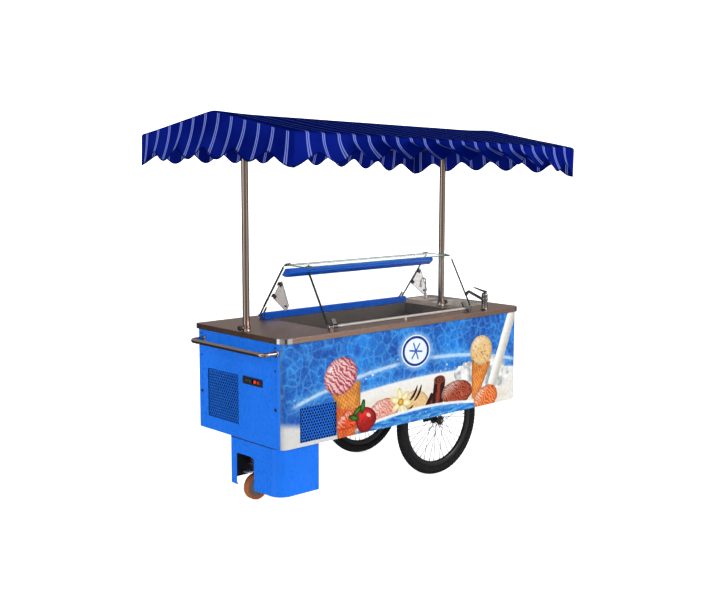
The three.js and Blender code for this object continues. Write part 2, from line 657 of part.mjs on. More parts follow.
function mixerCap() {
  return turnedOnZ([
    [0, MIXER_SHOULDER + GAP], [19, MIXER_SHOULDER + GAP], [19, 96], [13, 106], [0, 106],
  ], 0, 0);
}

// Flat lever with a rounded tip, hinged at the back of the cap.
function mixerLever() {
  const side = new THREE.Shape();
  side.moveTo(-16, 107);
  side.lineTo(-20, 112);
  side.quadraticCurveTo(-14, 121, 6, 120);
  side.lineTo(100, 131);
  side.lineTo(118, 128);
  side.lineTo(98, 124);
  side.lineTo(14, 109);
  side.lineTo(12, 107);
  const lever = new THREE.ExtrudeGeometry(side, { depth: 20, bevelEnabled: false, curveSegments: 6 });
  return lever.translate(0, 0, -10).rotateX(Math.PI / 2).rotateZ(Math.PI / 2);
}

// Short threaded body of the dipper tap, through the counter.
function tapBody() {
  return turnedOnZ([[0, -40], [6, -40], [6, GAP], [13, GAP], [13, 4], [10, 8], [10, 20], [0, 20]], 0, 0, 20);
}

// Swan-neck spout that hooks over the dipper well.
function gooseneck() {
  const neck = new THREE.CurvePath();
  const bend = 24;
  neck.add(new THREE.LineCurve3(new THREE.Vector3(0, 0, 24), new THREE.Vector3(0, 0, 104)));
  const arc = new THREE.CatmullRomCurve3([0, 1, 2, 3, 4, 5, 6].map((i) => {
    const angle = (Math.PI * i) / 6;
    return new THREE.Vector3(-bend + bend * Math.cos(angle), 0, 104 + bend * Math.sin(angle));
  }));
  neck.add(arc);
  neck.add(new THREE.LineCurve3(
    new THREE.Vector3(-2 * bend, 0, 104), new THREE.Vector3(-2 * bend, 0, 76)));
  const ring = new THREE.Shape();
  ring.absarc(0, 0, 5, 0, 2 * Math.PI);
  const options = { steps: 16, extrudePath: neck, curveSegments: 4, bevelEnabled: false };
  const tube = new THREE.ExtrudeGeometry(ring, options);
  const nut = turnedOnZ([[0, 20 + GAP], [9, 20 + GAP], [9, 32], [0, 32]], 0, 0, 12);
  const tip = turnedOnZ([[0, 68], [8, 68], [8, 84], [0, 84]], -2 * bend, 0, 12);
  return join(tube, nut, tip);
}

add('mixer_body', mixerBody(), CHROME, mixer);
add('mixer_spout', mixerSpout(), CHROME, mixer);
add('mixer_cap', mixerCap(), CHROME, mixer);
add('mixer_lever', mixerLever(), CHROME, mixer);
const dipperTap = new THREE.Group();
dipperTap.position.set(TAP.x, TAP.y, COUNTER_TOP);
cabinet.add(dipperTap);
add('tap_body', tapBody(), CHROME, dipperTap);
add('gooseneck', gooseneck(), CHROME, dipperTap);

// ---- sneeze guard -------------------------------------------------------------------------
// A glass pane as a thin slab between two (y, z) points, running along X.
function pane(from, to, x0, x1, thickness) {
  const along = to.clone().sub(from).normalize();
  const across = new THREE.Vector2(-along.y, along.x).multiplyScalar(thickness / 2);
  const corners = [from.clone().add(across), from.clone().sub(across),
    to.clone().sub(across), to.clone().add(across)];
  const slab = new THREE.ExtrudeGeometry(new THREE.Shape(corners), { depth: x1 - x0, bevelEnabled: false });
  return slab.rotateX(Math.PI / 2).rotateZ(Math.PI / 2).translate(x0, 0, 0);
}

// A point on a pane, measured along it from its lower edge and across it.
function onPane(from, to, distance, across) {
  const along = to.clone().sub(from).normalize();
  const side = new THREE.Vector2(-along.y, along.x);
  return from.clone().addScaledVector(along, distance).addScaledVector(side, across);
}

// Polished rod in front of the well with a pedestal block at each end.
const ROD_RADIUS = 8;
function frontGlassRod() {
  const y = FRONT_HINGE.x;
  const z = FRONT_HINGE.y;
  const bar = rod([GUARD_LEFT + 6, y, z], [GUARD_RIGHT - 6, y, z], ROD_RADIUS, 16);
  const blocks = [GUARD_LEFT + 20, GUARD_RIGHT - 20].map((x) =>
    block(x - 12, y - 9, COUNTER_TOP + GAP, x + 12, y + 9, z + ROD_RADIUS + 0.5));
  const clip = block(-8, y - 9, COUNTER_TOP + GAP, 8, y + 9, z);
  return join(bar, ...blocks, clip);
}

// Front glass with two clamp sleeves that turn on the rod, clear of the blocks.
function frontGlass() {
  const glass = pane(
    onPane(FRONT_HINGE, FRONT_TOP, ROD_RADIUS + 7, 0), FRONT_TOP, GUARD_LEFT, GUARD_RIGHT, GLASS);
  const sleeves = [GUARD_LEFT + 52, GUARD_RIGHT - 52].map((x) => {
    const y = FRONT_HINGE.x;
    const z = FRONT_HINGE.y;
    const ring = pipe([x - 14, y, z], [x + 14, y, z], ROD_RADIUS + 5, ROD_RADIUS + GAP, 12);
    const tab = pane(onPane(FRONT_HINGE, FRONT_TOP, ROD_RADIUS + 3, 0),
      onPane(FRONT_HINGE, FRONT_TOP, 44, 0), x - 14, x + 14, GLASS + 6);
    return join(ring, tab);
  });
  return join(glass, ...sleeves);
}

// Blue folded rail along the back of the well, with a hinge ear at each end.
const RAIL = { y0: 240, y1: 268, height: 38 };
function rearGlassRail() {
  const rail = block(
    GUARD_LEFT + 6, RAIL.y0, COUNTER_TOP + GAP, GUARD_RIGHT - 6, RAIL.y1, COUNTER_TOP + RAIL.height);
  const pins = [GUARD_LEFT, GUARD_RIGHT - 30].map((x) => {
    const ear = block(x + 8, RAIL.y1 - 4, COUNTER_TOP + GAP, x + 22, REAR_FOOT.x + 8, REAR_FOOT.y + 8);
    const pin = rod([x, REAR_FOOT.x, REAR_FOOT.y], [x + 30, REAR_FOOT.x, REAR_FOOT.y], 4, 12);
    return join(ear, pin);
  });
  return join(rail, ...pins);
}

// Rear glass, notched round the hinge ears, with a small eye at each end of each pin.
function rearGlass() {
  const lower = onPane(REAR_FOOT, REAR_TOP, 14, 0);
  const glass = pane(lower, REAR_TOP, GUARD_LEFT, GUARD_RIGHT, GLASS);
  const eyes = [GUARD_LEFT + 1, GUARD_LEFT + 24, GUARD_RIGHT - 29, GUARD_RIGHT - 6].map((x) => {
    const y = REAR_FOOT.x;
    const z = REAR_FOOT.y;
    const ring = pipe([x, y, z], [x + 5, y, z], 9, 4 + GAP, 10);
    const tab = pane(onPane(REAR_FOOT, REAR_TOP, 7, 0), onPane(REAR_FOOT, REAR_TOP, 60, 0), x, x + 5, GLASS + 4);
    return join(ring, tab);
  });
  return join(glass, ...eyes);
}

// Clear corner stay, clamped inside the left end of the rear glass and outside its right end.
function stayPlate() {
  const inset = GLASS / 2 + GAP;
  const outline = new THREE.Shape([
    onPane(REAR_FOOT, REAR_TOP, 137, inset), onPane(REAR_FOOT, REAR_TOP, 275, inset),
    onPane(REAR_FOOT, REAR_TOP, 200, 140), onPane(REAR_FOOT, REAR_TOP, 155, 140),
  ]);
  const plate = new THREE.ExtrudeGeometry(outline, { depth: 5, bevelEnabled: false });
  return plate.rotateX(Math.PI / 2).rotateZ(Math.PI / 2);
}

// Blue lamp rail hung inside the upper edge of the rear glass.
function lampRail() {
  const outer = new THREE.Shape([
    new THREE.Vector2(52, 1286), new THREE.Vector2(4, 1286), new THREE.Vector2(4, 1262),
    new THREE.Vector2(34, 1238), new THREE.Vector2(60, 1238), new THREE.Vector2(84, 1246),
  ]);
  const rail = new THREE.ExtrudeGeometry(outer, { depth: GUARD_RIGHT - GUARD_LEFT - 8, bevelEnabled: false });
  return rail.rotateX(Math.PI / 2).rotateZ(Math.PI / 2).translate(GUARD_LEFT + 4, 0, 0);
}

// Top glass with hinge knuckles along its rear edge.
function topGlass() {
  return pane(TOP_FRONT, TOP_HINGE, GUARD_LEFT, GUARD_RIGHT, GLASS);
}

add('front_glass_rod', frontGlassRod(), CHROME);
add('front_glass', frontGlass(), GLASS_FINISH);
add('rear_glass_rail', rearGlassRail(), DEEP_BLUE);
add('rear_glass', rearGlass(), GLASS_FINISH);
add('stay_plate_left', stayPlate(), GLASS_FINISH).position.x = GUARD_LEFT + 33;
add('stay_plate_right', stayPlate(), GLASS_FINISH).position.x = GUARD_RIGHT + GAP;
add('lamp_rail', lampRail(), DEEP_BLUE);
add('top_glass', topGlass(), GLASS_FINISH);

// ---- posts, sockets and clamp knobs -------------------------------------------------------
function postSocket(x) {
  const inner = POST_RADIUS + GAP;
  const outer = inner + SOCKET_WALL;
  const collar = outer + 3;
  return turnedOnZ([
    [inner, SOCKET_FOOT], [outer, SOCKET_FOOT], [outer, COUNTER_TOP + GAP],
    [collar + 6, COUNTER_TOP + GAP], [collar + 6, COUNTER_TOP + 3], [collar, COUNTER_TOP + 5],
    [collar, SOCKET_TOP], [inner, SOCKET_TOP], [inner, SOCKET_FOOT],
  ], x, POST_Y);
}

// Ball knob with five flutes on a short threaded shank that enters the collar.
function clampKnob(x, side) {
  const z = COUNTER_TOP + 20;
  const start = x + side * (POST_RADIUS + SOCKET_WALL + 3 + 2 * GAP);
  const shank = rod([start, POST_Y, z], [start + side * 12, POST_Y, z], 4, 12);
  const head = rod([start + side * 10, POST_Y, z], [start + side * 28, POST_Y, z], 15, 24);
  const flutes = [0, 1, 2, 3, 4].map((i) => {
    const angle = (2 * Math.PI * i) / 5;
    const y = POST_Y + 19 * Math.cos(angle);
    const depth = z + 19 * Math.sin(angle);
    return rod([start + side * 8, y, depth], [start + side * 30, y, depth], 6.5, 12);
  });
  return cut(join(shank, head), ...flutes);
}

// Height of the canopy's own eave plane above the ground at a place along X.
function eaveAt(x) {
  return CANOPY_EAVE - (x - CANOPY_X) * Math.tan(CANOPY_TILT);
}

// Drop from the cover's outer face to the axis of a frame tube.
const TUBE_DROP = CLOTH + 2 + FRAME_RADIUS;

function post(x) {
  const top = eaveAt(x) - TUBE_DROP - FRAME_RADIUS - 3;
  return pipe([x, POST_Y, POST_FOOT], [x, POST_Y, top], POST_RADIUS, POST_RADIUS - SOCKET_WALL, 16);
}

for (const [side, x, out] of [['left', LEFT_POST_X, -1], ['right', RIGHT_POST_X, 1]]) {
  add(`${side}_post_socket`, postSocket(x), STEEL);
  add(`${side}_knob`, clampKnob(x, out), BLACK);
  add(`${side}_post`, post(x), STEEL);
}

// ---- canopy -------------------------------------------------------------------------------
const canopy = new THREE.Group();
canopy.position.set(CANOPY_X, CANOPY_Y, CANOPY_EAVE);
canopy.rotation.y = CANOPY_TILT;
cabinet.add(canopy);

// Eave loop, ridge, a tie under each post head and rafters, all one welded frame.
function canopyFrame() {
  const x = CANOPY_HALF_LENGTH - 18;
  const y = CANOPY_HALF_WIDTH - 18;
  const z = -TUBE_DROP;
  const ridge = CANOPY_RISE - TUBE_DROP - 4;
  const tube = (a, b) => rod(a, b, FRAME_RADIUS, 8);
  const ties = [LEFT_POST_X - CANOPY_X, RIGHT_POST_X - CANOPY_X];
  const pieces = [
    tube([-x, -y, z], [x, -y, z]), tube([-x, y, z], [x, y, z]),
    tube([-x, -y, z], [-x, y, z]), tube([x, -y, z], [x, y, z]),
    tube([-x, 0, ridge], [x, 0, ridge]),
  ];
  for (const tie of [-x, ...ties, x]) {
    pieces.push(tube([tie, -y, z], [tie, y, z]));
    pieces.push(tube([tie, 0, z], [tie, 0, ridge]));
  }
  for (const end of [-x, x]) {
    for (const side of [-y, y]) pieces.push(tube([end, side, z], [end, 0, ridge]));
  }
  return join(...pieces);
}

// Height of the cover above its eave plane.
function roofHeight(x, y) {
  const fromGable = CANOPY_HALF_LENGTH - Math.abs(x);
  const ridge = CANOPY_RISE + CANOPY_PEAK * Math.exp(-((fromGable / 150) ** 2));
  return ridge * (1 - Math.abs(y) / CANOPY_HALF_WIDTH);
}

// How far the hem stands out in the middle of each side, for -Y, +X, +Y and -X.
const FLARE = { front: 125, right: 25, back: 25, left: 115 };
const HEM_ARCH = 45;             // the hem is this much higher in the middle of a flared side

// The cover as a shell: a roof grid, walls hung from its rim, the same again inside, and a hem.
function canopyCover() {
  const columns = 16;
  const rows = 6;
  const drops = 3;
  const positions = [];
  const triangles = [];
  const vertex = (x, y, z) => positions.push(x, y, z) / 3 - 1;
  const quad = (a, b, c, d) => triangles.push(a, b, c, a, c, d);
  const flareOf = (x, y) => {
    const alongX = Math.cos((Math.PI * x) / (2 * CANOPY_HALF_LENGTH)) ** 0.7;
    const alongY = Math.cos((Math.PI * y) / (2 * CANOPY_HALF_WIDTH)) ** 0.7;
    if (Math.abs(y) > CANOPY_HALF_WIDTH - 1) return [0, y < 0 ? -FLARE.front : FLARE.back, alongX];
    return [x < 0 ? -FLARE.left : FLARE.right, 0, alongY];
  };
  const layer = (inset) => {
    const grid = [];
    for (let i = 0; i <= columns; i += 1) {
      grid.push([]);
      for (let k = 0; k <= rows; k += 1) {
        const u = (2 * i) / columns - 1;
        const v = (2 * k) / rows - 1;
        const x = u * CANOPY_HALF_LENGTH;
        const y = v * CANOPY_HALF_WIDTH;
        const z = roofHeight(x, y) - inset;
        grid[i].push(vertex(x - u * inset * (Math.abs(u) === 1), y - v * inset * (Math.abs(v) === 1), z));
      }
    }
    return grid;
  };
  const rim = [];
  for (let i = 0; i < columns; i += 1) rim.push([i, 0]);
  for (let k = 0; k < rows; k += 1) rim.push([columns, k]);
  for (let i = columns; i > 0; i -= 1) rim.push([i, rows]);
  for (let k = rows; k > 0; k -= 1) rim.push([0, k]);
  const walls = (grid, inset) => {
    const rings = [rim.map(([i, k]) => grid[i][k])];
    for (let d = 1; d <= drops; d += 1) {
      const t = d / drops;
      rings.push(rim.map(([i, k]) => {
        const u = (2 * i) / columns - 1;
        const v = (2 * k) / rows - 1;
        const x = u * CANOPY_HALF_LENGTH;
        const y = v * CANOPY_HALF_WIDTH;
        const [fx, fy, swell] = flareOf(x, y);
        const lift = HEM_ARCH * swell * (fx + fy < 0 ? 1 : 0);
        const top = roofHeight(x, y) - inset;
        const z = top + (-VALANCE + lift - top) * t;
        const stand = swell * t ** 1.4;
        const inX = u * inset * (Math.abs(u) === 1);
        const inY = v * inset * (Math.abs(v) === 1);
        return vertex(x - inX + fx * stand, y - inY + fy * stand, z);
      }));
    }
    return rings;
  };
  const outer = layer(0);
  const outerWalls = walls(outer, 0);
  const inner = layer(CLOTH);
  const innerWalls = walls(inner, CLOTH);
  for (let i = 0; i < columns; i += 1) {
    for (let k = 0; k < rows; k += 1) {
      quad(outer[i][k], outer[i + 1][k], outer[i + 1][k + 1], outer[i][k + 1]);
      quad(inner[i][k], inner[i][k + 1], inner[i + 1][k + 1], inner[i + 1][k]);
    }
  }
  for (let n = 0; n < rim.length; n += 1) {
    const m = (n + 1) % rim.length;
    for (let d = 0; d < drops; d += 1) {
      quad(outerWalls[d][n], outerWalls[d + 1][n], outerWalls[d + 1][m], outerWalls[d][m]);
      quad(innerWalls[d][n], innerWalls[d][m], innerWalls[d + 1][m], innerWalls[d + 1][n]);
    }
    quad(outerWalls[drops][n], innerWalls[drops][n], innerWalls[drops][m], outerWalls[drops][m]);
  }
  const cover = new THREE.BufferGeometry();
  cover.setAttribute('position', new THREE.Float32BufferAttribute(positions, 3));
  cover.setIndex(triangles);
  cover.computeVertexNormals();
  return cover;
}

add('canopy_frame', canopyFrame(), STEEL, canopy);
add('canopy_cover', canopyCover(), CLOTH_FINISH, canopy);

// ---- refrigeration ------------------------------------------------------------------------
const FLOOR = RAIL_TOP + SHEET + GAP;
const FAN = { x: -715, z: 500, radius: 78 };

// Hermetic compressor: domed can on a foot plate.
function compressor() {
  const can = turnedOnZ([
    [0, FLOOR + 8], [70, FLOOR + 8], [82, FLOOR + 30], [82, FLOOR + 120], [64, FLOOR + 160], [0, FLOOR + 172],
  ], -765, 110, 20);
  const foot = block(-860, 20, FLOOR, -670, 200, FLOOR + 12);
  const pipeStub = rod([-765, 110, FLOOR + 160], [-765, 110, FLOOR + 215], 5, 10);
  return join(can, foot, pipeStub);
}

// Finned block with slots cut from both faces so the fins stay joined by its ends.
function condenser() {
  const core = block(-838, -352, FLOOR, -592, -302, 590);
  const slots = [];
  for (let i = 0; i < 11; i += 1) {
    const x = -822 + i * 20.5;
    slots.push(block(x, -360, FLOOR + 14, x + 12, -330, 578));
  }
  return cut(core, ...slots);
}

// Shroud plate with a round mouth and a three-legged motor mount behind the blades.
function fanShroud() {
  const y = -296;
  const plate = block(-838, y, FLOOR, -592, y + 3, 590);
  const mouth = rod([FAN.x, y - 5, FAN.z], [FAN.x, y + 10, FAN.z], FAN.radius + 6, 20);
  const ringOuter = pipe([FAN.x, y, FAN.z], [FAN.x, y + 40, FAN.z], FAN.radius + 10, FAN.radius + 5, 20);
  const motor = rod([FAN.x, y + 42, FAN.z], [FAN.x, y + 78, FAN.z], 28, 20);
  const legs = [0, 1, 2].map((i) => {
    const angle = (2 * Math.PI * i) / 3;
    const reach = FAN.radius + 8;
    return rod([FAN.x, y + 50, FAN.z],
      [FAN.x + reach * Math.cos(angle), y + 36, FAN.z + reach * Math.sin(angle)], 4, 8);
  });
  return join(cut(plate, mouth), ringOuter, motor, ...legs);
}

// Four pitched blades on a hub.
function condenserFan() {
  const y = -278;
  const pieces = [rod([FAN.x, y - 8, FAN.z], [FAN.x, y + 16, FAN.z], 22, 20)];
  for (let i = 0; i < 4; i += 1) {
    const blade = new THREE.BoxGeometry(FAN.radius - 14, 2.5, 42).translate((FAN.radius - 14) / 2 + 12, 0, 0);
    blade.rotateX(0.45).rotateY((Math.PI * i) / 2).translate(FAN.x, y + 2, FAN.z);
    pieces.push(blade);
  }
  return join(...pieces);
}

// ---- water cans ---------------------------------------------------------------------------
function waterCan(y0, y1) {
  const shell = raise(roundedRectangle(690, y0, 900, y1, [16, 16, 16, 16]), FLOOR, 700, 4);
  const neck = rod([795, (y0 + y1) / 2, 695], [795, (y0 + y1) / 2, 728], 24, 20);
  return join(shell, neck);
}

add('compressor', compressor(), BLACK);
add('condenser', condenser(), ZINC);
add('fan_shroud', fanShroud(), ZINC);
add('condenser_fan', condenserFan(), BLACK);
add('fresh_water_can', waterCan(60, 240), WHITE);
add('waste_water_can', waterCan(-240, -60), WHITE);

const footprint = new THREE.Box3().setFromObject(cabinet, true);
const middle = footprint.getCenter(new THREE.Vector3());
cabinet.position.set(-middle.x, -middle.y, -footprint.min.z);

export default cabinet;
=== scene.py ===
"""Looks of the ice cream dipping cabinet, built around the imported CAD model.

Shapes are drawn in millimetres in the body frame: X along the cabinet, -Y towards the customer,
Z up, with the origin on the ground under the middle of the body. piece() scales them to metres
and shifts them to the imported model's own origin.
"""
import json
import math

import bmesh
import bpy
from mathutils import Matrix, Vector


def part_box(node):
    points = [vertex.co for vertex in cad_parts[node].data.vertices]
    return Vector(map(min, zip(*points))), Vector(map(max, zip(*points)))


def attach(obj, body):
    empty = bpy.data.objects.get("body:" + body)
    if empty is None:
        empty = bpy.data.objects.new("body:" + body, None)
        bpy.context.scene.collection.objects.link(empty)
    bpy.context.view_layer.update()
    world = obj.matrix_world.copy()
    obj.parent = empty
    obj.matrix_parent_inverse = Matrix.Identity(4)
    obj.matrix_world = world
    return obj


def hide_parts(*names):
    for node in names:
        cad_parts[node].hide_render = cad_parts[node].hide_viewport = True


MM = 0.001
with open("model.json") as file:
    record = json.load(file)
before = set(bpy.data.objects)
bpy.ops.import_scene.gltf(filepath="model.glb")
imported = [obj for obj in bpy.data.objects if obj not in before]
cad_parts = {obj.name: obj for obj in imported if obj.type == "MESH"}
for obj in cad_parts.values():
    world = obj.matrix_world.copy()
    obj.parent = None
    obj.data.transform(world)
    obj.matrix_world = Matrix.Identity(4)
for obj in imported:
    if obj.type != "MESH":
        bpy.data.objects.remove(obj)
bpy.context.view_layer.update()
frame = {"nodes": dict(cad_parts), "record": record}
counter_low, counter_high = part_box("countertop")
ORIGIN = Vector(((counter_low.x + counter_high.x) / 2, (counter_low.y + counter_high.y) / 2, 0))
BODY_OF = {node: body for body, nodes in frame["record"]["behaviour"]["bodies"].items() for node in nodes}
SLOT_OF = {row["node"]: row["material_slot"] for row in frame["record"]["subparts"]}

# ---- driving dimensions, in millimetres ---------------------------------------------------
HALF_LENGTH = 968
HALF_DEPTH = 378
BODY_BOTTOM = 372
COUNTER_TOP = 974
COUNTER_THICK = 31
COUNTER_END = 977
COUNTER_SIDE = 397
PANEL_TOP = COUNTER_TOP - COUNTER_THICK - 0.3
CORNER_RADIUS = 45
WHEEL_X, WHEEL_Y, WHEEL_RADIUS = 273, 333, 335
RIM_OUTER, RIM_INNER = 280, 256
POST_RADIUS, POST_Y, LEFT_POST_X, RIGHT_POST_X = 19, -38, -942, 612
POST_FOOT, SOCKET_FOOT, SOCKET_TOP = 794, 430, 1004
WELL = (-565, -282, 550, 222, 235, 34)
BASIN = (672, -165, 902, 120, 130, 38)
DIPPER = (688, 222, 846, 338, 80, 20)
GUARD_LEFT, GUARD_RIGHT, GLASS = -598, 582, 6
REAR_FOOT, REAR_TOP = (292, 993), (63, 1300)
TOP_HINGE, TOP_FRONT = (60, 1307), (-145, 1307)
FRONT_HINGE, FRONT_TOP = (-322, 993), (-150, 1293)
MIXER, SPOUT_YAW = (686, -340), -0.21
TAP = (878, 352)
CANOPY = (6, 20, 2011)
CANOPY_HALF_LENGTH, CANOPY_HALF_WIDTH = 1119, 688
CANOPY_RISE, CANOPY_PEAK, CANOPY_TILT = 112, 8, 0.030
VALANCE = 182
SMOOTH_ANGLE = 38                # degrees: flatter edges are shaded smooth


# ---- shapes ---------------------------------------------------------------------------------
class Shape:
    """Points and faces in millimetres. Each face has a material number, each point may have a UV."""

    def __init__(self, points, faces, uvs=None, paint=None):
        self.points = [Vector(p) for p in points]
        self.faces = [tuple(f) for f in faces]
        self.uvs = uvs
        self.paint = paint or [0] * len(self.faces)

    def moved(self, x=0, y=0, z=0):
        return self.placed(Matrix.Translation((x, y, z)))

    def turned(self, angle, axis):
        return self.placed(Matrix.Rotation(angle, 4, axis))

    def placed(self, matrix):
        faces = self.faces if matrix.determinant() > 0 else [f[::-1] for f in self.faces]
        return Shape([matrix @ p for p in self.points], faces, self.uvs, list(self.paint))

    def painted(self, number):
        return Shape(self.points, self.faces, self.uvs, [number] * len(self.faces))


def join(*shapes):
    points, faces, paint, uvs = [], [], [], []
    for shape in shapes:
        start = len(points)
        points += shape.points
        faces += [tuple(i + start for i in f) for f in shape.faces]
        paint += shape.paint
        uvs += shape.uvs or [(0, 0)] * len(shape.points)
    return Shape(points, faces, uvs if any(s.uvs for s in shapes) else None, paint)


def lathe(profile, sides=48):
    """A closed outline of (radius, height) turned round Z. It runs anticlockwise: up the outside."""
    points, rings, faces = [], [], []
    for radius, height in profile:
        if radius < 1e-6:
            rings.append([len(points)] * sides)
            points.append((0, 0, height))
            continue
        rings.append(list(range(len(points), len(points) + sides)))
        for i in range(sides):
            angle = 2 * math.pi * i / sides
            points.append((radius * math.cos(angle), radius * math.sin(angle), height))
    closed = profile[0][0] > 1e-6 and profile[-1][0] > 1e-6
    pairs = list(zip(rings, rings[1:])) + ([(rings[-1], rings[0])] if closed else [])
    for low, high in pairs:
        for i in range(sides):
            k = (i + 1) % sides
            face = []
            for index in (low[i], low[k], high[k], high[i]):
                if index not in face:
                    face.append(index)
            if len(face) > 2:
                faces.append(face)
    return Shape(points, faces)


def aim(start, end):
    """A matrix that lays the Z axis from start towards end."""
    direction = Vector(end) - Vector(start)
    return Matrix.Translation(start) @ direction.to_track_quat("Z", "Y").to_matrix().to_4x4()


def rod(start, end, radius, sides=24):
    length = (Vector(end) - Vector(start)).length
    c = min(0.8, radius / 3, length / 3)
    profile = [(0, 0), (radius - c, 0), (radius, c), (radius, length - c), (radius - c, length), (0, length)]
    return lathe(profile, sides).placed(aim(start, end))


def tube(start, end, outer, inner, sides=40):
    length = (Vector(end) - Vector(start)).length
    c = 0.6
    profile = [(inner, 0), (outer - c, 0), (outer, c)]
    profile += [(outer, length - c), (outer - c, length), (inner, length)]
    return lathe(profile, sides).placed(aim(start, end))


def filleted(points, radius, steps=8):
    """A polyline with its corners rounded off."""
    points = [Vector(p) for p in points]
    out = [points[0]]
    for before, corner, after in zip(points, points[1:], points[2:]):
        a, b = (before - corner).normalized(), (after - corner).normalized()
        half = a.angle(b) / 2
        cut = min(radius / math.tan(half), (before - corner).length * 0.49, (after - corner).length * 0.49)
        for i in range(steps + 1):
            t = i / steps
            p, q = corner + a * cut, corner + b * cut
            out.append(p.lerp(corner, t).lerp(corner.lerp(q, t), t))
    return out + [points[-1]]


def sweep(points, radius, sides=16):
    """A round bar along a polyline, with flat ends. radius may be a list, one for each point."""
    points = [Vector(p) for p in points]
    radii = radius if isinstance(radius, list) else [radius] * len(points)
    tangents = []
    for i in range(len(points)):
        tangents.append((points[min(i + 1, len(points) - 1)] - points[max(i - 1, 0)]).normalized())
    side = tangents[0].orthogonal().normalized()
    coordinates, faces = [], []
    for i, (point, tangent) in enumerate(zip(points, tangents)):
        side = (side - tangent * side.dot(tangent)).normalized()
        other = tangent.cross(side)
        for k in range(sides):
            angle = 2 * math.pi * k / sides
            coordinates.append(point + (side * math.cos(angle) + other * math.sin(angle)) * radii[i])
    for i in range(len(points) - 1):
        for k in range(sides):
            m = (k + 1) % sides
            faces.append((i * sides + k, i * sides + m, (i + 1) * sides + m, (i + 1) * sides + k))
    last = (len(points) - 1) * sides
    faces.append(tuple(range(sides))[::-1])
    faces.append(tuple(range(last, last + sides)))
    return Shape(coordinates, faces)


def prism(outline, low, high):
    """An anticlockwise (x, y) outline raised along Z."""
    count = len(outline)
    points = [(x, y, low) for x, y in outline] + [(x, y, high) for x, y in outline]
    faces = [tuple(range(count))[::-1], tuple(range(count, 2 * count))]
    for i in range(count):
        k = (i + 1) % count
        faces.append((i, k, k + count, i + count))
    return Shape(points, faces)


def rectangle(left, front, right, back, radii=(0, 0, 0, 0), steps=10):
    """A rectangle with rounded corners: front left, front right, back right, back left."""
    corners = [
        (left, front, 1, 1, math.pi), (right, front, -1, 1, 1.5 * math.pi),
        (right, back, -1, -1, 0), (left, back, 1, -1, 0.5 * math.pi)]
    outline = []
    for (x, y, sx, sy, start), radius in zip(corners, radii):
        if radius <= 0:
            outline.append((x, y))
            continue
        for i in range(steps + 1):
            angle = start + 0.5 * math.pi * i / steps
            outline.append((x + radius * (sx + math.cos(angle)), y + radius * (sy + math.sin(angle))))
    return outline


def block(x0, y0, z0, x1, y1, z1):
    return prism(rectangle(x0, y0, x1, y1), z0, z1)


def along_x(outline, x0, x1):
    """A (y, z) outline, anticlockwise seen from +X, raised along X."""
    turn = Matrix(((0, 0, 1, 0), (1, 0, 0, 0), (0, 1, 0, 0), (0, 0, 0, 1)))
    return prism(outline, x0, x1).placed(turn)


def mesh_of(name, shape, scale=1.0):
    mesh = bpy.data.meshes.new(name)
    mesh.from_pydata([p * scale for p in shape.points], [], shape.faces)
    mesh.polygons.foreach_set("material_index", shape.paint)
    if shape.uvs:
        layer = mesh.uv_layers.new(name="UVMap")
        for loop in mesh.loops:
            layer.data[loop.index].uv = shape.uvs[loop.vertex_index]
    mesh.update()
    return mesh


def cut(shape, *tools):
    """The shape with the tools taken away."""
    target = bpy.data.objects.new("cut_target", mesh_of("cut_target", shape))
    cutter = bpy.data.objects.new("cut_tool", mesh_of("cut_tool", join(*tools)))
    for o in (target, cutter):
        bpy.context.scene.collection.objects.link(o)
    change = target.modifiers.new("cut", "BOOLEAN")
    change.operation = "DIFFERENCE"
    change.solver = "EXACT"
    change.use_self = True
    change.object = cutter
    made = target.evaluated_get(bpy.context.evaluated_depsgraph_get()).to_mesh()
    result = Shape([v.co.copy() for v in made.vertices], [tuple(p.vertices) for p in made.polygons])
    for o in (target, cutter):
        bpy.data.objects.remove(o)
    return result


def piece(name, shape, body, materials, replaces=(), slot=None, bevel=0.0, smooth=SMOOTH_ANGLE):
    """Makes a shown piece from a shape, rides it on its CAD body and hides the nodes it stands for."""
    mesh = mesh_of(name, shape, MM)
    for material in materials if isinstance(materials, (list, tuple)) else [materials]:
        mesh.materials.append(material)
    obj = bpy.data.objects.new(name, mesh)
    bpy.context.scene.collection.objects.link(obj)
    obj.location = ORIGIN
    mesh.shade_smooth()
    mesh.set_sharp_from_angle(angle=math.radians(smooth))
    if bevel:
        soften(obj, bevel)
    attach(obj, body)
    if replaces:
        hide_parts(*replaces)
    slot = slot or (SLOT_OF[replaces[0]] if replaces else None)
    return obj


def soften(obj, width):
    edge = obj.modifiers.new("bevel", "BEVEL")
    edge.width = width * MM
    edge.segments = 2
    edge.limit_method = "ANGLE"
    edge.angle_limit = math.radians(40)
    edge.harden_normals = False


def refined(node, material, bevel=1.0):
    """A CAD node shown through a copy of its own mesh, welded, with soft edges."""
    made = bmesh.new()
    made.from_mesh(frame["nodes"][node].data)
    bmesh.ops.remove_doubles(made, verts=made.verts, dist=0.00002)
    bmesh.ops.dissolve_limit(made, angle_limit=math.radians(1), verts=made.verts, edges=made.edges)
    mesh = bpy.data.meshes.new(node + "_look")
    made.to_mesh(mesh)
    made.free()
    mesh.materials.append(material)
    obj = bpy.data.objects.new(node + "_look", mesh)
    bpy.context.scene.collection.objects.link(obj)
    shift = Matrix.Translation(-ORIGIN)
    mesh.transform(shift)
    obj.location = ORIGIN
    mesh.shade_smooth()
    mesh.set_sharp_from_angle(angle=math.radians(SMOOTH_ANGLE))
    if bevel:
        soften(obj, bevel)
    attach(obj, BODY_OF[node])
    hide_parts(node)
    return obj


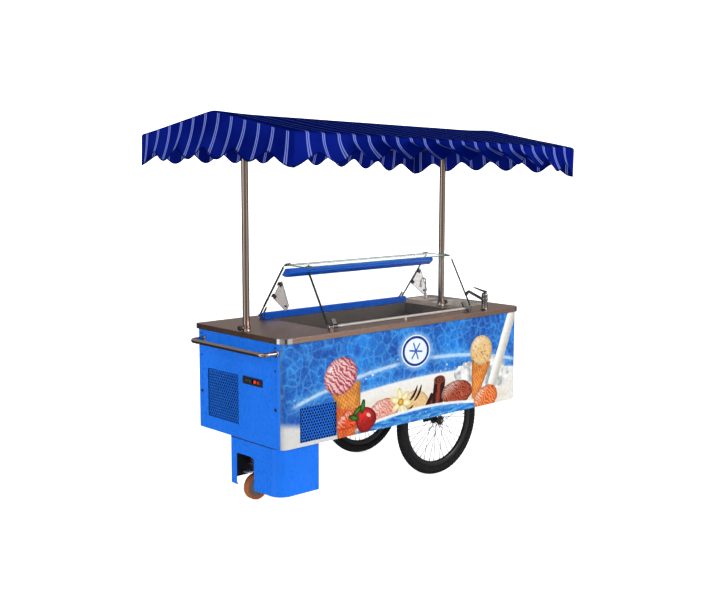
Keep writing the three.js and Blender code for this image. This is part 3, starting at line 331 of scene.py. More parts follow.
# ---- materials ------------------------------------------------------------------------------
class Number:
    """A value on a node socket, so that shader formulas read as formulas."""

    def __init__(self, paint, socket):
        self.paint = paint
        self.socket = socket

    def __add__(self, other):
        return self.paint.math("ADD", self, other)

    def __sub__(self, other):
        return self.paint.math("SUBTRACT", self, other)

    def __rsub__(self, other):
        return self.paint.math("SUBTRACT", other, self)

    def __mul__(self, other):
        return self.paint.math("MULTIPLY", self, other)

    def __truediv__(self, other):
        return self.paint.math("DIVIDE", self, other)

    __radd__ = __add__
    __rmul__ = __mul__


class Paint:
    """A material whose node tree is built by short calls."""

    def __init__(self, name, color=(0.5, 0.5, 0.5), metallic=0.0, roughness=0.5):
        self.material = bpy.data.materials.new(name)
        self.material.use_nodes = True
        self.tree = self.material.node_tree
        self.surface = self.tree.nodes["Principled BSDF"]
        self.set("Base Color", (*color, 1))
        self.set("Metallic", metallic)
        self.set("Roughness", roughness)

    def feed(self, socket, value):
        if isinstance(value, Number):
            value = value.socket
        if isinstance(value, bpy.types.NodeSocket):
            self.tree.links.new(value, socket)
        else:
            socket.default_value = value

    def set(self, name, value):
        self.feed(self.surface.inputs[name], value)

    def node(self, kind, inputs=None, **settings):
        made = self.tree.nodes.new("ShaderNode" + kind)
        for key, value in settings.items():
            setattr(made, key, value)
        for key, value in (inputs or {}).items():
            self.feed(made.inputs[key], value)
        return made

    def math(self, operation, a, b=0.0):
        return Number(self, self.node("Math", {0: a, 1: b}, operation=operation).outputs[0])

    def place(self):
        """Position on the piece, in metres, in the body frame."""
        return self.node("TexCoord").outputs["Object"]

    def uv(self):
        """The UV as two numbers and as a vector, in metres."""
        socket = self.node("TexCoord").outputs["UV"]
        split = self.node("SeparateXYZ", {0: socket})
        return Number(self, split.outputs[0]), Number(self, split.outputs[1]), socket

    def scaled(self, vector, x=1, y=1, z=1):
        return self.node("Mapping", {"Vector": vector, "Scale": (x, y, z)}).outputs[0]

    def noise(self, vector, scale, detail=3.0, roughness=0.5):
        made = self.node("TexNoise", {
            "Vector": vector, "Scale": scale, "Detail": detail, "Roughness": roughness})
        return Number(self, made.outputs[0])

    def cells(self, vector, scale, feature="F1"):
        made = self.node("TexVoronoi", {"Vector": vector, "Scale": scale}, feature=feature)
        return Number(self, made.outputs["Distance"])

    def ramp(self, value, low, high, out_low=0.0, out_high=1.0):
        """value remapped smoothly from low..high, held at both ends."""
        made = self.node("MapRange", {0: value, 1: low, 2: high, 3: out_low, 4: out_high})
        made.interpolation_type = "SMOOTHSTEP"
        return Number(self, made.outputs[0])

    def mix(self, factor, a, b, blend="MIX"):
        made = self.node("Mix", data_type="RGBA", blend_type=blend)
        for index, value in ((0, factor), (6, a), (7, b)):
            if isinstance(value, tuple) and len(value) == 3:
                value = (*value, 1)
            self.feed(made.inputs[index], value)
        return made.outputs[2]

    def warped(self, vector, scale, amount):
        """vector moved about by noise."""
        cloud = self.node("TexNoise", {"Vector": vector, "Scale": scale, "Detail": 2.0})
        shift = self.node("VectorMath", {0: cloud.outputs[1], 1: (0.5, 0.5, 0.5)}, operation="SUBTRACT")
        grown = self.node("VectorMath", {0: shift.outputs[0], 3: amount}, operation="SCALE")
        return self.node("VectorMath", {0: vector, 1: grown.outputs[0]}, operation="ADD").outputs[0]

    def bump(self, height, strength, distance=0.001):
        made = self.node("Bump", {"Height": height, "Strength": strength, "Distance": distance})
        self.set("Normal", made.outputs[0])
        return self.material


def painted_metal(name, color, roughness=0.28, coat=0.06):
    """Sprayed enamel: faint orange peel, slow shade changes, a clear coat."""
    p = Paint(name, color, 0.0, roughness)
    place = p.place()
    cloud = p.noise(place, 2.4, 4)
    dull = tuple(c * 0.94 for c in color)
    bright = tuple(min(1, c * 1.04 + 0.002) for c in color)
    p.set("Base Color", p.mix(p.ramp(cloud, 0.35, 0.65), dull, bright))
    p.set("Roughness", p.ramp(p.noise(place, 30, 4), 0.3, 0.7, roughness * 0.85, roughness * 1.25))
    p.set("Specular IOR Level", 0.18)
    p.set("Coat Weight", coat)
    p.set("Coat Roughness", 0.12)
    return p.bump(p.noise(place, 420, 2), 0.05)


def brushed_steel(name, color, roughness=0.3, grain=(2, 160, 160), marks=0.35, metallic=1.0):
    """Stainless steel with a grain: grain is the stretch of the scratches in X, Y and Z."""
    p = Paint(name, color, metallic, roughness)
    place = p.place()
    line = p.noise(p.scaled(place, *grain), 6, 5, 0.65)
    cloud = p.noise(place, 5, 4)
    dark = tuple(c * 0.80 for c in color)
    light = tuple(min(1, c * 1.12) for c in color)
    shade = p.mix(p.ramp(line, 0.3, 0.7), dark, light)
    p.set("Base Color", p.mix(p.ramp(cloud, 0.3, 0.75, 0, marks), shade, tuple(c * 0.88 for c in color)))
    scratched = p.ramp(line, 0.25, 0.75, roughness * 0.8, roughness * 1.3)
    p.set("Roughness", scratched + p.ramp(cloud, 0.3, 0.7, 0, 0.06))
    return p.bump(line, 0.10, 0.0004)


def chrome():
    """Polished plating with a few dull water marks."""
    p = Paint("chrome", (0.80, 0.80, 0.80), 1.0, 0.07)
    place = p.place()
    spots = p.noise(place, 60, 5, 0.7)
    p.set("Roughness", p.ramp(spots, 0.5, 0.8, 0.05, 0.16))
    cloud = p.ramp(p.noise(place, 14, 3), 0.35, 0.65)
    p.set("Base Color", p.mix(cloud, (0.70, 0.70, 0.71), (0.86, 0.86, 0.86)))
    return p.bump(spots, 0.02)


def plastic(name, color, roughness=0.45, grain=900):
    """Moulded plastic with a fine spark-eroded grain."""
    p = Paint(name, color, 0.0, roughness)
    place = p.place()
    dark = tuple(c * 0.75 for c in color)
    light = tuple(min(1, c * 1.2) for c in color)
    p.set("Base Color", p.mix(p.noise(place, 25, 4), dark, light))
    p.set("Roughness", p.ramp(p.noise(place, 70, 3), 0.3, 0.7, roughness * 0.85, roughness * 1.15))
    return p.bump(p.noise(place, grain, 2), 0.10, 0.0003)


def rubber(name, color=(0.012, 0.012, 0.013)):
    """Tyre rubber: dusty in the hollows, matt."""
    p = Paint(name, color, 0.0, 0.72)
    place = p.place()
    dust = p.ramp(p.noise(place, 18, 5, 0.6), 0.48, 0.8, 0, 0.35)
    p.set("Base Color", p.mix(dust, color, tuple(c + 0.012 for c in color)))
    p.set("Specular IOR Level", 0.18)
    p.set("Roughness", p.ramp(p.noise(place, 60, 3), 0.3, 0.7, 0.6, 0.85))
    return p.bump(p.noise(place, 700, 3), 0.25, 0.0005)


def polyurethane(name):
    """Orange-brown caster tread, slightly clear, scuffed."""
    p = Paint(name, (0.50, 0.16, 0.03), 0.0, 0.35)
    place = p.place()
    scuff = p.ramp(p.noise(place, 55, 5, 0.65), 0.45, 0.75)
    p.set("Base Color", p.mix(scuff, (0.33, 0.095, 0.018), (0.20, 0.07, 0.03)))
    p.set("Subsurface Weight", 0.15)
    p.set("Subsurface Radius", (0.01, 0.004, 0.002))
    return p.bump(scuff, 0.15, 0.0006)


def zinc(name, color=(0.42, 0.43, 0.44), roughness=0.42):
    """Zinc plate: spangled patches of different shine."""
    p = Paint(name, color, 0.9, roughness)
    place = p.place()
    made = p.node("TexVoronoi", {"Vector": place, "Scale": 45.0})
    patch = p.node("SeparateColor", {0: made.outputs["Color"]})
    value = Number(p, patch.outputs[0])
    p.set("Base Color", p.mix(value, tuple(c * 0.8 for c in color), tuple(c * 1.15 for c in color)))
    p.set("Roughness", value * 0.2 + (roughness - 0.1))
    return p.bump(p.noise(place, 300, 3), 0.06)


def foam(name):
    """Jacketed insulation board, matt with a fine pore."""
    p = Paint(name, (0.80, 0.74, 0.60), 0.0, 0.85)
    place = p.place()
    pores = p.cells(place, 260)
    p.set("Base Color", p.mix(p.noise(place, 8, 4), (0.74, 0.67, 0.52), (0.84, 0.79, 0.67)))
    return p.bump(pores, 0.25, 0.0008)


def clear(name, tint, weight, roughness=0.02, streaks=0.12):
    """A thin clear sheet: it lets straight light through and mirrors at a slant, with faint wipe marks."""
    p = Paint(name, tint, 0.0, roughness)
    place = p.place()
    marks = p.noise(p.scaled(place, 3, 1, 9), 5, 5, 0.6)
    p.set("Specular IOR Level", 0.8)
    p.set("Roughness", p.ramp(marks, 0.4, 0.8, roughness, roughness + 0.06))
    p.set("Base Color", (*tint, 1))
    slant = p.node("LayerWeight", {"Blend": 0.22})
    body = Number(p, slant.outputs["Fresnel"]) * 0.25 + weight
    p.set("Alpha", p.ramp(body + p.ramp(marks, 0.45, 0.85, 0, streaks), 0.0, 1.0))
    return p.material


def glass_edge(name):
    """The polished green edge of a pane: light gathers in it."""
    p = Paint(name, (0.010, 0.060, 0.045), 0.0, 0.12)
    place = p.place()
    cloud = p.noise(p.scaled(place, 4, 60, 60), 3, 3)
    p.set("Base Color", p.mix(cloud, (0.006, 0.035, 0.028), (0.03, 0.13, 0.10)))
    p.set("Coat Weight", 0.6)
    return p.bump(p.noise(place, 200, 2), 0.05)


def fins(name):
    p = Paint(name, (0.62, 0.63, 0.64), 0.9, 0.35)
    place = p.place()
    ridges = p.node("TexWave", {"Vector": place, "Scale": 190.0, "Distortion": 0.6}, bands_direction="X")
    height = Number(p, ridges.outputs[1])
    # Painted shade: the base colour goes dark in the hollows between the fins and light on their crests.
    p.set("Base Color", p.mix(height, (0.30, 0.31, 0.32), (0.74, 0.75, 0.76)))
    return p.bump(height, 0.5, 0.001)


# ---- canopy ---------------------------------------------------------------------------------
FLARE = {"front": 125, "right": 25, "back": 25, "left": 62}
ARCH = {"front": 72, "right": 34, "back": 40, "left": 40}      # how much the hem rises in mid-side
LOBE_DEPTH = 58                  # from the top of the wavy hem down to the bottom of a lobe
LONG_NOTCHES = [-990 + 220 * i for i in range(10)]
END_NOTCHES = [-514, -257, 0, 257, 514]
STRIPE_PITCH = 0.1028            # metres
STRIPE_SHIFT = 0.043
END_STRETCH, END_SHIFT = 0.895, 0.045


def canopy_cloth():
    """Woven acrylic: royal blue with pairs of thin lavender lines, a bound hem and soft fading; the roof is
    painted darker as shade.
    """
    p = Paint("canopy_cloth", (0.0, 0.010, 0.18), 0.0, 0.9)
    u, _, flat = p.uv()
    wobble = p.noise(p.scaled(flat, 1, 0.2, 1), 30, 2) * 0.0016
    turn = p.math("FRACT", (u + wobble - STRIPE_SHIFT) / STRIPE_PITCH)
    middle = p.math("ABSOLUTE", turn - 0.5)
    edge = p.math("ABSOLUTE", middle - 0.058)
    line = p.ramp(edge, 0.026, 0.042, 1.0, 0.0)
    halo = p.ramp(middle, 0.085, 0.125, 1.0, 0.0)
    weave_x = p.node("TexWave", {"Vector": flat, "Scale": 240.0}, bands_direction="X")
    weave_y = p.node("TexWave", {"Vector": flat, "Scale": 240.0}, bands_direction="Y")
    weave = p.math("MULTIPLY", Number(p, weave_x.outputs[1]), Number(p, weave_y.outputs[1]))
    fade = p.noise(flat, 3.2, 5, 0.6)
    blue = p.mix(p.ramp(fade, 0.3, 0.7), (0.001, 0.004, 0.095), (0.003, 0.010, 0.165))
    blue = p.mix(weave * 0.2, blue, (0.0, 0.004, 0.12))
    base = p.mix(halo * 0.35, blue, (0.004, 0.018, 0.22))
    striped = p.mix(line * 0.62, base, (0.22, 0.28, 0.66))
    # Painted shade: faces that lie flat, like the roof, get a darker blue with dimmer stripes.
    up = p.node("SeparateXYZ", {0: p.node("NewGeometry").outputs["Normal"]})
    roof_shade_share = p.ramp(p.math("ABSOLUTE", Number(p, up.outputs[2])), 0.62, 0.90)
    roof = p.mix(line * 0.22, p.mix(fade, (0.0, 0.003, 0.075), (0.0, 0.006, 0.11)), (0.20, 0.26, 0.55))
    cloth = p.mix(roof_shade_share, striped, roof)
    bound = p.node("SeparateXYZ", {0: p.node("UVMap", uv_map="Hem").outputs[0]})
    binding = p.ramp(Number(p, bound.outputs[1]), 0.006, 0.011, 1.0, 0.0)
    p.set("Base Color", p.mix(binding * 0.85, cloth, (0.0, 0.002, 0.035)))
    p.set("Specular IOR Level", 0.0)
    return p.bump(weave, 0.05, 0.0006)


def refine(values, edge):
    """Grid positions with more lines close to both ends, for the rounded eave."""
    insets = (2, 5, 9, 15)
    near = [edge - e for e in insets] + [-edge + e for e in insets]
    kept = [v for v in values if abs(v) < edge - insets[-1] - 4 or abs(abs(v) - edge) < 1e-6]
    return sorted(kept + near)


def spread(half, notches, step):
    """Positions from -half to half that hit every notch of the hem."""
    stops = [-half] + list(notches) + [half]
    out = []
    for a, b in zip(stops, stops[1:]):
        count = max(2, round((b - a) / step))
        out += [a + (b - a) * i / count for i in range(count)]
    return out + [half]


def lobe_drop(position, half, notches, other_half, other_notches):
    """Drop of the hem below the notches, at a position along one side. The corner lobes wrap round."""
    stops = list(notches)
    if position < stops[0] or position > stops[-1]:
        around = other_half - other_notches[-1]
        span = half - stops[-1] + around
        q = 2 * (abs(position) - stops[-1]) / span - 1
    else:
        k = max(i for i in range(len(stops)) if stops[i] <= position + 1e-6)
        k = min(k, len(stops) - 2)
        q = 2 * (position - stops[k]) / (stops[k + 1] - stops[k]) - 1
    return LOBE_DEPTH * (0.5 + 0.5 * math.cos(math.pi * q)) ** 0.8, q


def roof_height(x, y):
    """Height of the cloth over its eave plane: a ridge, raised at the gables, rounded over the eave."""
    from_gable = CANOPY_HALF_LENGTH - abs(x)
    ridge = CANOPY_RISE + CANOPY_PEAK * math.exp(-((from_gable / 150) ** 2))
    share = abs(y) / CANOPY_HALF_WIDTH
    blunt = math.sqrt(share * share + 0.0016) - 0.04 * share * share
    height = ridge * (1 - blunt / 0.9608)
    sag = 5.0 * math.sin(math.pi * share) * (0.5 - 0.5 * math.cos(2 * math.pi * x / 560.0))
    pull = 1.6 * math.sin(x / 41.0 + 2.0 * math.sin(y / 170.0)) * share ** 3
    reach = 15.0
    edge = CANOPY_HALF_WIDTH - abs(y)
    roll = reach - math.sqrt(reach * reach - (reach - edge) ** 2) if edge < reach else 0
    if from_gable < reach:
        roll = max(roll, 0.6 * (reach - math.sqrt(reach * reach - (reach - from_gable) ** 2)))
    return height - sag + pull - roll


def wall_point(x, y, on_long_side, t):
    """A point of the hanging wall below the eave place (x, y); t runs from the eave to the hem."""
    half, notches = CANOPY_HALF_LENGTH, LONG_NOTCHES
    other_half, other_notches = CANOPY_HALF_WIDTH, END_NOTCHES
    if not on_long_side:
        half, notches, other_half, other_notches = other_half, other_notches, half, notches
    along = x if on_long_side else y
    swell = max(0.0, math.cos(math.pi * along / (2 * half))) ** 0.7
    if on_long_side:
        name, way = ("front", (0, -1)) if y < 0 else ("back", (0, 1))
    else:
        name, way = ("left", (-1, 0)) if x < 0 else ("right", (1, 0))
    side = Vector((*way, 0))
    drop, q = lobe_drop(along, half, notches, other_half, other_notches)
    top = roof_height(x, y)
    bottom = -VALANCE + ARCH[name] * swell + LOBE_DEPTH - drop
    stand = FLARE[name] * swell * t ** 1.7
    billow = (7 * (1 - q * q) - 4) * t * t * min(1.0, (half - abs(along)) / 120)
    return Vector((x, y, top + (bottom - top) * t)) + side * (stand + billow)


def canopy_cover():
    """Roof and hanging walls as one sheet, with the stripes laid along it by the UV."""
    xs = refine(spread(CANOPY_HALF_LENGTH, LONG_NOTCHES, 14), CANOPY_HALF_LENGTH)
    ys = refine(spread(CANOPY_HALF_WIDTH, END_NOTCHES, 14), CANOPY_HALF_WIDTH)
    columns, rows, drops = len(xs) - 1, len(ys) - 1, 14
    points, faces, kinds, heights = [], [], [], []
    index = {}
    for i, x in enumerate(xs):
        for k, y in enumerate(ys):
            index[i, k] = len(points)
            points.append(Vector((x, y, roof_height(x, y))))
            heights.append(1.0)
    for i in range(columns):
        for k in range(rows):
            faces.append((index[i, k], index[i + 1, k], index[i + 1, k + 1], index[i, k + 1]))
            kinds.append("roof")
    rim = [(i, 0) for i in range(columns)] + [(columns, k) for k in range(rows)]
    rim += [(i, rows) for i in range(columns, 0, -1)] + [(0, k) for k in range(rows, 0, -1)]
    previous = [index[place] for place in rim]
    for d in range(1, drops + 1):
        t = d / drops
        ring = []
        for i, k in rim:
            ring.append(len(points))
            points.append(wall_point(xs[i], ys[k], k in (0, rows), t))
            heights.append((1 - t) * VALANCE * MM)
        for n, (i, k) in enumerate(rim):
            m = (n + 1) % len(rim)
            faces.append((previous[n], ring[n], ring[m], previous[m]))
            both_long = k in (0, rows) and rim[m][1] in (0, rows)
            kinds.append("long" if both_long else "end")
        previous = ring
    return points, faces, kinds, heights


def make_canopy_cover():
    points, faces, kinds, heights = canopy_cover()
    tilt = Matrix.Translation(CANOPY) @ Matrix.Rotation(CANOPY_TILT, 4, "Y")
    mesh = bpy.data.meshes.new("canopy_cover_cloth")
    mesh.from_pydata([tilt @ p * MM for p in points], [], faces)
    layer = mesh.uv_layers.new(name="UVMap")
    hem = mesh.uv_layers.new(name="Hem")
    for polygon, kind in zip(mesh.polygons, kinds):
        for loop in polygon.loop_indices:
            corner = mesh.loops[loop].vertex_index
            x, y, z = points[corner] * MM
            hem.data[loop].uv = (0, heights[corner])
            if kind == "roof":
                layer.data[loop].uv = (x, y)
            elif kind == "long":
                layer.data[loop].uv = (x, z - (CANOPY_HALF_WIDTH * MM))
            else:
                layer.data[loop].uv = (y * END_STRETCH + END_SHIFT, z)
    mesh.materials.append(canopy_cloth())
    obj = bpy.data.objects.new("canopy_cover_cloth", mesh)
    bpy.context.scene.collection.objects.link(obj)
    obj.location = ORIGIN
    mesh.shade_smooth()
    thickness = obj.modifiers.new("cloth", "SOLIDIFY")
    thickness.thickness = 2.0 * MM
    thickness.offset = -1
    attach(obj, "canopy")
    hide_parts("canopy_cover")


def make_canopy_frame(material):
    """Eave loop, ridge, ties and rafters of the welded tube frame."""
    x, y, z = CANOPY_HALF_LENGTH - 18, CANOPY_HALF_WIDTH - 18, -15
    ridge = CANOPY_RISE - 46
    ties = [LEFT_POST_X - CANOPY[0], RIGHT_POST_X - CANOPY[0]]
    runs = [[(-x, -y, z), (x, -y, z), (x, y, z), (-x, y, z), (-x, -y, z)]]
    shapes = [sweep(filleted(runs[0], 26), 10, 14), rod((-x, 0, ridge), (x, 0, ridge), 9.5, 14)]
    for tie in [-x] + ties + [x]:
        shapes.append(rod((tie, -y, z), (tie, y, z), 9.5, 14))
        shapes.append(rod((tie, 0, z), (tie, 0, ridge), 9.5, 14))
    for end in (-x, x):
        for side in (-y, y):
            shapes.append(rod((end, side, z), (end, 0, ridge), 9.5, 14))
    tilt = Matrix.Translation(CANOPY) @ Matrix.Rotation(CANOPY_TILT, 4, "Y")
    piece("canopy_frame_tubes", join(*shapes).placed(tilt), "canopy", material, ["canopy_frame"])


def make_posts(material, knob_material):
    for name, x, out in (("left", LEFT_POST_X, -1), ("right", RIGHT_POST_X, 1)):
        eave = CANOPY[2] - (x - CANOPY[0]) * math.tan(CANOPY_TILT)
        post = tube((x, POST_Y, POST_FOOT), (x, POST_Y, eave - 28), POST_RADIUS, POST_RADIUS - 2, 48)
        piece(f"{name}_post_tube", post, "canopy", material, [f"{name}_post"])
        inner, outer = POST_RADIUS + 0.3, POST_RADIUS + 2.3
        collar = outer + 3
        socket = lathe([
            (inner, SOCKET_FOOT), (outer, SOCKET_FOOT), (outer, COUNTER_TOP + 0.3),
            (collar + 5.5, COUNTER_TOP + 0.3), (collar + 6, COUNTER_TOP + 1), (collar + 5, COUNTER_TOP + 3),
            (collar + 1, COUNTER_TOP + 4), (collar, COUNTER_TOP + 6), (collar, SOCKET_TOP - 1.5),
            (collar - 1.5, SOCKET_TOP), (inner, SOCKET_TOP)], 48).moved(x, POST_Y, 0)
        boss = rod((x + out * 22, POST_Y, COUNTER_TOP + 20), (x + out * 28, POST_Y, COUNTER_TOP + 20), 7, 20)
        piece(f"{name}_post_collar", join(socket, boss), "cabinet", material, [f"{name}_post_socket"])
        make_knob(name, x, out, knob_material)


def make_knob(name, x, out, material):
    """Five-lobed clamp knob: a domed star head on a neck."""
    z = COUNTER_TOP + 20
    outline = []
    for i in range(60):
        angle = 2 * math.pi * i / 60
        radius = 13.2 + 1.8 * math.cos(5 * angle)
        outline.append((radius * math.cos(angle), radius * math.sin(angle)))
    layers = [(0.80, 10), (0.97, 11.5), (1.0, 14), (1.0, 22), (0.95, 25.5), (0.80, 27.5), (0.35, 28)]
    points, faces = [], []
    for scale, height in layers:
        points += [(px * scale, py * scale, height) for px, py in outline]
    for level in range(len(layers) - 1):
        for i in range(60):
            k = (i + 1) % 60
            faces.append((level * 60 + i, level * 60 + k, (level + 1) * 60 + k, (level + 1) * 60 + i))
    faces.append(tuple(range(60))[::-1])
    faces.append(tuple(range((len(layers) - 1) * 60, len(layers) * 60)))
    start = x + out * 25
    head = Shape(points, faces).placed(aim((start, POST_Y, z), (start + out, POST_Y, z)))
    neck = rod((start, POST_Y, z), (start + out * 11, POST_Y, z), 5, 20)
    piece(f"{name}_clamp_knob", join(head, neck), f"knob_{name}", material, [f"{name}_knob"])


# ---- body -----------------------------------------------------------------------------------
SKIRT = (-965, -346, -683, 84, 78)           # left, front, right, back, corner radius
LEFT_VENT = (6, 295, 450, 727)
FRONT_VENT = (-846, -584, 394, 584)
HOLE_PITCH, HOLE_RADIUS, SHEET = 18.5, 7.8, 1.5
CELL_EDGE = ((1, 0.5), (1, 1), (0.75, 1), (0.5, 1), (0.25, 1), (0, 1),
             (0, 0.5), (0, 0), (0.25, 0), (0.5, 0), (0.75, 0), (1, 0))
CONTROL = (-213, -38, 689, 731)
BODY_BLUE = (0.0, 0.122, 0.62)
PRINT_CONTRAST, PRINT_WHITE = 1.45, 0.76     # contrast of the film's inks, and their brightest tone


def hexagon(radius):
    return [(radius * math.cos(i * math.pi / 3), radius * math.sin(i * math.pi / 3)) for i in range(6)]


def bolt(x, y, z, toward, radius=5.0, height=3.2, dome=False):
    """A screw head standing on a face; toward is the way it stands out."""
    start = Vector((x, y, z))
    if dome:
        profile = [(0, 0), (radius, 0), (radius, height * 0.25)]
        profile += [(radius * 0.8, height * 0.7), (radius * 0.4, height), (0, height)]
        return lathe(profile, 20).placed(aim(start, start + Vector(toward)))
    head = prism(hexagon(radius), 0.8, height)
    washer = lathe([(0, 0), (radius * 1.25, 0), (radius * 1.25, 0.8), (0, 0.8)], 24)
    return join(head, washer).placed(aim(start, start + Vector(toward)))


def acorn(x, y, z, toward, radius=7.0):
    """A domed cap nut on a washer."""
    start = Vector((x, y, z))
    dome = [(0, 0.8), (radius, 0.8), (radius, radius * 0.6), (radius * 0.92, radius)]
    dome += [(radius * 0.6, radius * 1.45), (radius * 0.25, radius * 1.65), (0, radius * 1.7)]
    washer = lathe([(0, 0), (radius * 1.3, 0), (radius * 1.3, 0.8), (0, 0.8)], 24)
    return join(lathe(dome, 24), washer).placed(aim(start, start + Vector(toward)))


def pierced_sheet(width, height):
    """A sheet with staggered round holes, each in its own cell, in the XZ plane with its front at y = 0."""
    row_height = HOLE_PITCH * math.sqrt(0.75)
    rows = int(height / row_height)
    columns = int(width / HOLE_PITCH)
    x_start, z_start = (width - columns * HOLE_PITCH) / 2, (height - rows * row_height) / 2
    sides = len(CELL_EDGE)
    points, faces = [], []
    for row in range(rows):
        odd = row % 2
        for column in range(columns - odd):
            x0, z0 = x_start + (column + odd / 2) * HOLE_PITCH, z_start + row * row_height
            cx, cz = x0 + HOLE_PITCH / 2, z0 + row_height / 2
            edge = [(x0 + u * HOLE_PITCH, z0 + v * row_height) for u, v in CELL_EDGE]
            outer_front = len(points)
            for y in (0, SHEET):
                points += [(x, y, z) for x, z in edge]
                for x, z in edge:
                    angle = math.atan2(z - cz, x - cx)
                    across, up = HOLE_RADIUS * math.cos(angle), HOLE_RADIUS * math.sin(angle)
                    points.append((cx + across, y, cz + up))
            inner_front, outer_back, inner_back = (outer_front + n * sides for n in (1, 2, 3))
            for i in range(sides):
                k = (i + 1) % sides
                faces.append((outer_front + i, outer_front + k, inner_front + k, inner_front + i))
                faces.append((outer_back + k, outer_back + i, inner_back + i, inner_back + k))
                faces.append((inner_front + i, inner_front + k, inner_back + k, inner_back + i))
    return Shape(points, faces)


def make_vents(material, shade_backing_black):
    y0, y1, z0, z1 = LEFT_VENT
    side = pierced_sheet(y1 - y0 + 12, z1 - z0 + 12).moved(x=-(y1 - y0 + 12) / 2)
    side = side.turned(-math.pi / 2, "Z").moved(-HALF_LENGTH + 3.5, (y0 + y1) / 2, z0 - 6)
    piece("left_vent_perforated", side, "cabinet", material, ["left_vent_grille"], smooth=30)
    x0, x1, z0, z1 = FRONT_VENT
    front = pierced_sheet(x1 - x0 + 12, z1 - z0 + 12).moved(x0 - 6, -HALF_DEPTH + 3.5, z0 - 6)
    piece("front_vent_perforated", front, "cabinet", material, ["front_vent_grille"], smooth=30)
    y0, y1, low, high = LEFT_VENT
    # Painted shade: near-black sheets set just behind the perforated vents, so the holes show as shaded
    # openings.
    shade_backings = [block(-HALF_LENGTH + 8, y0 - 5, low - 5, -HALF_LENGTH + 10, y1 + 5, high + 5),
            block(x0 - 5, -HALF_DEPTH + 8, z0 - 5, x1 + 5, -HALF_DEPTH + 10, z1 + 5)]
    piece("vent_shade_backings", join(*shade_backings), "cabinet", shade_backing_black, slot="black_plastic", bevel=0.5)


def make_panels(blue, wrap, steel):
    """Front sheet bent round both corners, ends, back and door, with their fixings."""
    back = -HALF_DEPTH + CORNER_RADIUS
    outer = rectangle(-HALF_LENGTH, -HALF_DEPTH, HALF_LENGTH, back, (CORNER_RADIUS, CORNER_RADIUS, 0, 0), 12)
    inner = rectangle(-HALF_LENGTH + 3, -HALF_DEPTH + 3, HALF_LENGTH - 3, back + 10, (42, 42, 0, 0), 12)
    x0, x1, z0, z1 = FRONT_VENT
    vent = prism(rectangle(x0, z0, x1, z1, (3, 3, 3, 3), 4), -20, 20)
    vent = vent.turned(math.pi / 2, "X").moved(y=-HALF_DEPTH)
    sheet = cut(prism(outer, BODY_BOTTOM, PANEL_TOP), prism(inner, BODY_BOTTOM - 5, PANEL_TOP + 5), vent)
    piece("front_printed_panel", sheet, "cabinet", wrap, ["front_wrap_panel"], bevel=0.6)
    refined("left_end_panel", blue, 0.7)
    refined("right_end_panel", blue, 0.7)
    refined("back_panel", blue, 0.7)
    refined("service_door", blue, 0.8)
    screws = []
    for y in (-322, 352):
        for z in (920, 795):
            screws.append(bolt(-HALF_LENGTH, y, z, (-1, 0, 0), 6.0, 2.4, True))
        screws.append(bolt(-HALF_LENGTH, y, 585, (-1, 0, 0), 9.5, 4.0, True))
    piece("end_panel_screws", join(*screws), "cabinet", steel, slot="black_metal")
    places = [(x, z) for x in (-940, -470, 0, 470) for z in (395, 920)]
    rear = [bolt(x, HALF_DEPTH, z, (0, 1, 0), 4.5, 2.4, True) for x, z in places]
    rear += [bolt(HALF_LENGTH, y, z, (1, 0, 0), 4.5, 2.4, True) for y in (-300, 0, 350) for z in (395, 920)]
    piece("rear_panel_screws", join(*rear), "cabinet", steel, slot="black_metal")


def make_skirt(material, shadow_strip_navy, dark):
    """The caster's skirt, a dark strip round its top that paints the shadow line under the body, and a dark
    panel behind the wheel that paints the shade inside the skirt.
    """
    refined("caster_skirt", material, 0.8)
    left, front, right, back, radius = SKIRT
    low, high = BODY_BOTTOM - 7, BODY_BOTTOM - 0.4
    # Painted shadow: a dark navy strip round the top of the skirt stands for the shadow line where it meets
    # the body.
    outline = rectangle(left - 1, front - 1, right + 1, back, (radius + 1, 7, 0, 0), 12)
    hole = rectangle(left + 1, front + 1, right - 1, back + 9, (radius - 1, 5, 0, 0), 12)
    outer, inner = prism(outline, low, high), prism(hole, low - 5, high + 5)
    piece("skirt_shadow_strip", cut(outer, inner), "cabinet", shadow_strip_navy, slot="black_plastic")
    # Painted shade: a dark panel behind the wheel stands for the shade inside the skirt.
    panel = block(left + 4, back - 6, 128, right - 4, back - 3, high - 8)
    piece("caster_bay_shade_panel", panel, "cabinet", dark, slot="black_metal", bevel=0.6)


def make_handle(material):
    wall = -HALF_LENGTH - 0.3
    out = wall - 88
    path = filleted([(wall, 332, 890), (out, 332, 890), (out, -332, 890), (wall, -332, 890)], 60, 12)
    roses = [lathe([(0, 0), (20, 0), (20, 2.5), (17, 4), (13, 4.2), (0, 4.2)], 32)
             .placed(aim((wall, y, 890), (wall - 1, y, 890))) for y in (-332, 332)]
    piece("push_handle_tube", join(sweep(path, 13, 28), *roses), "cabinet", material, ["push_handle"])


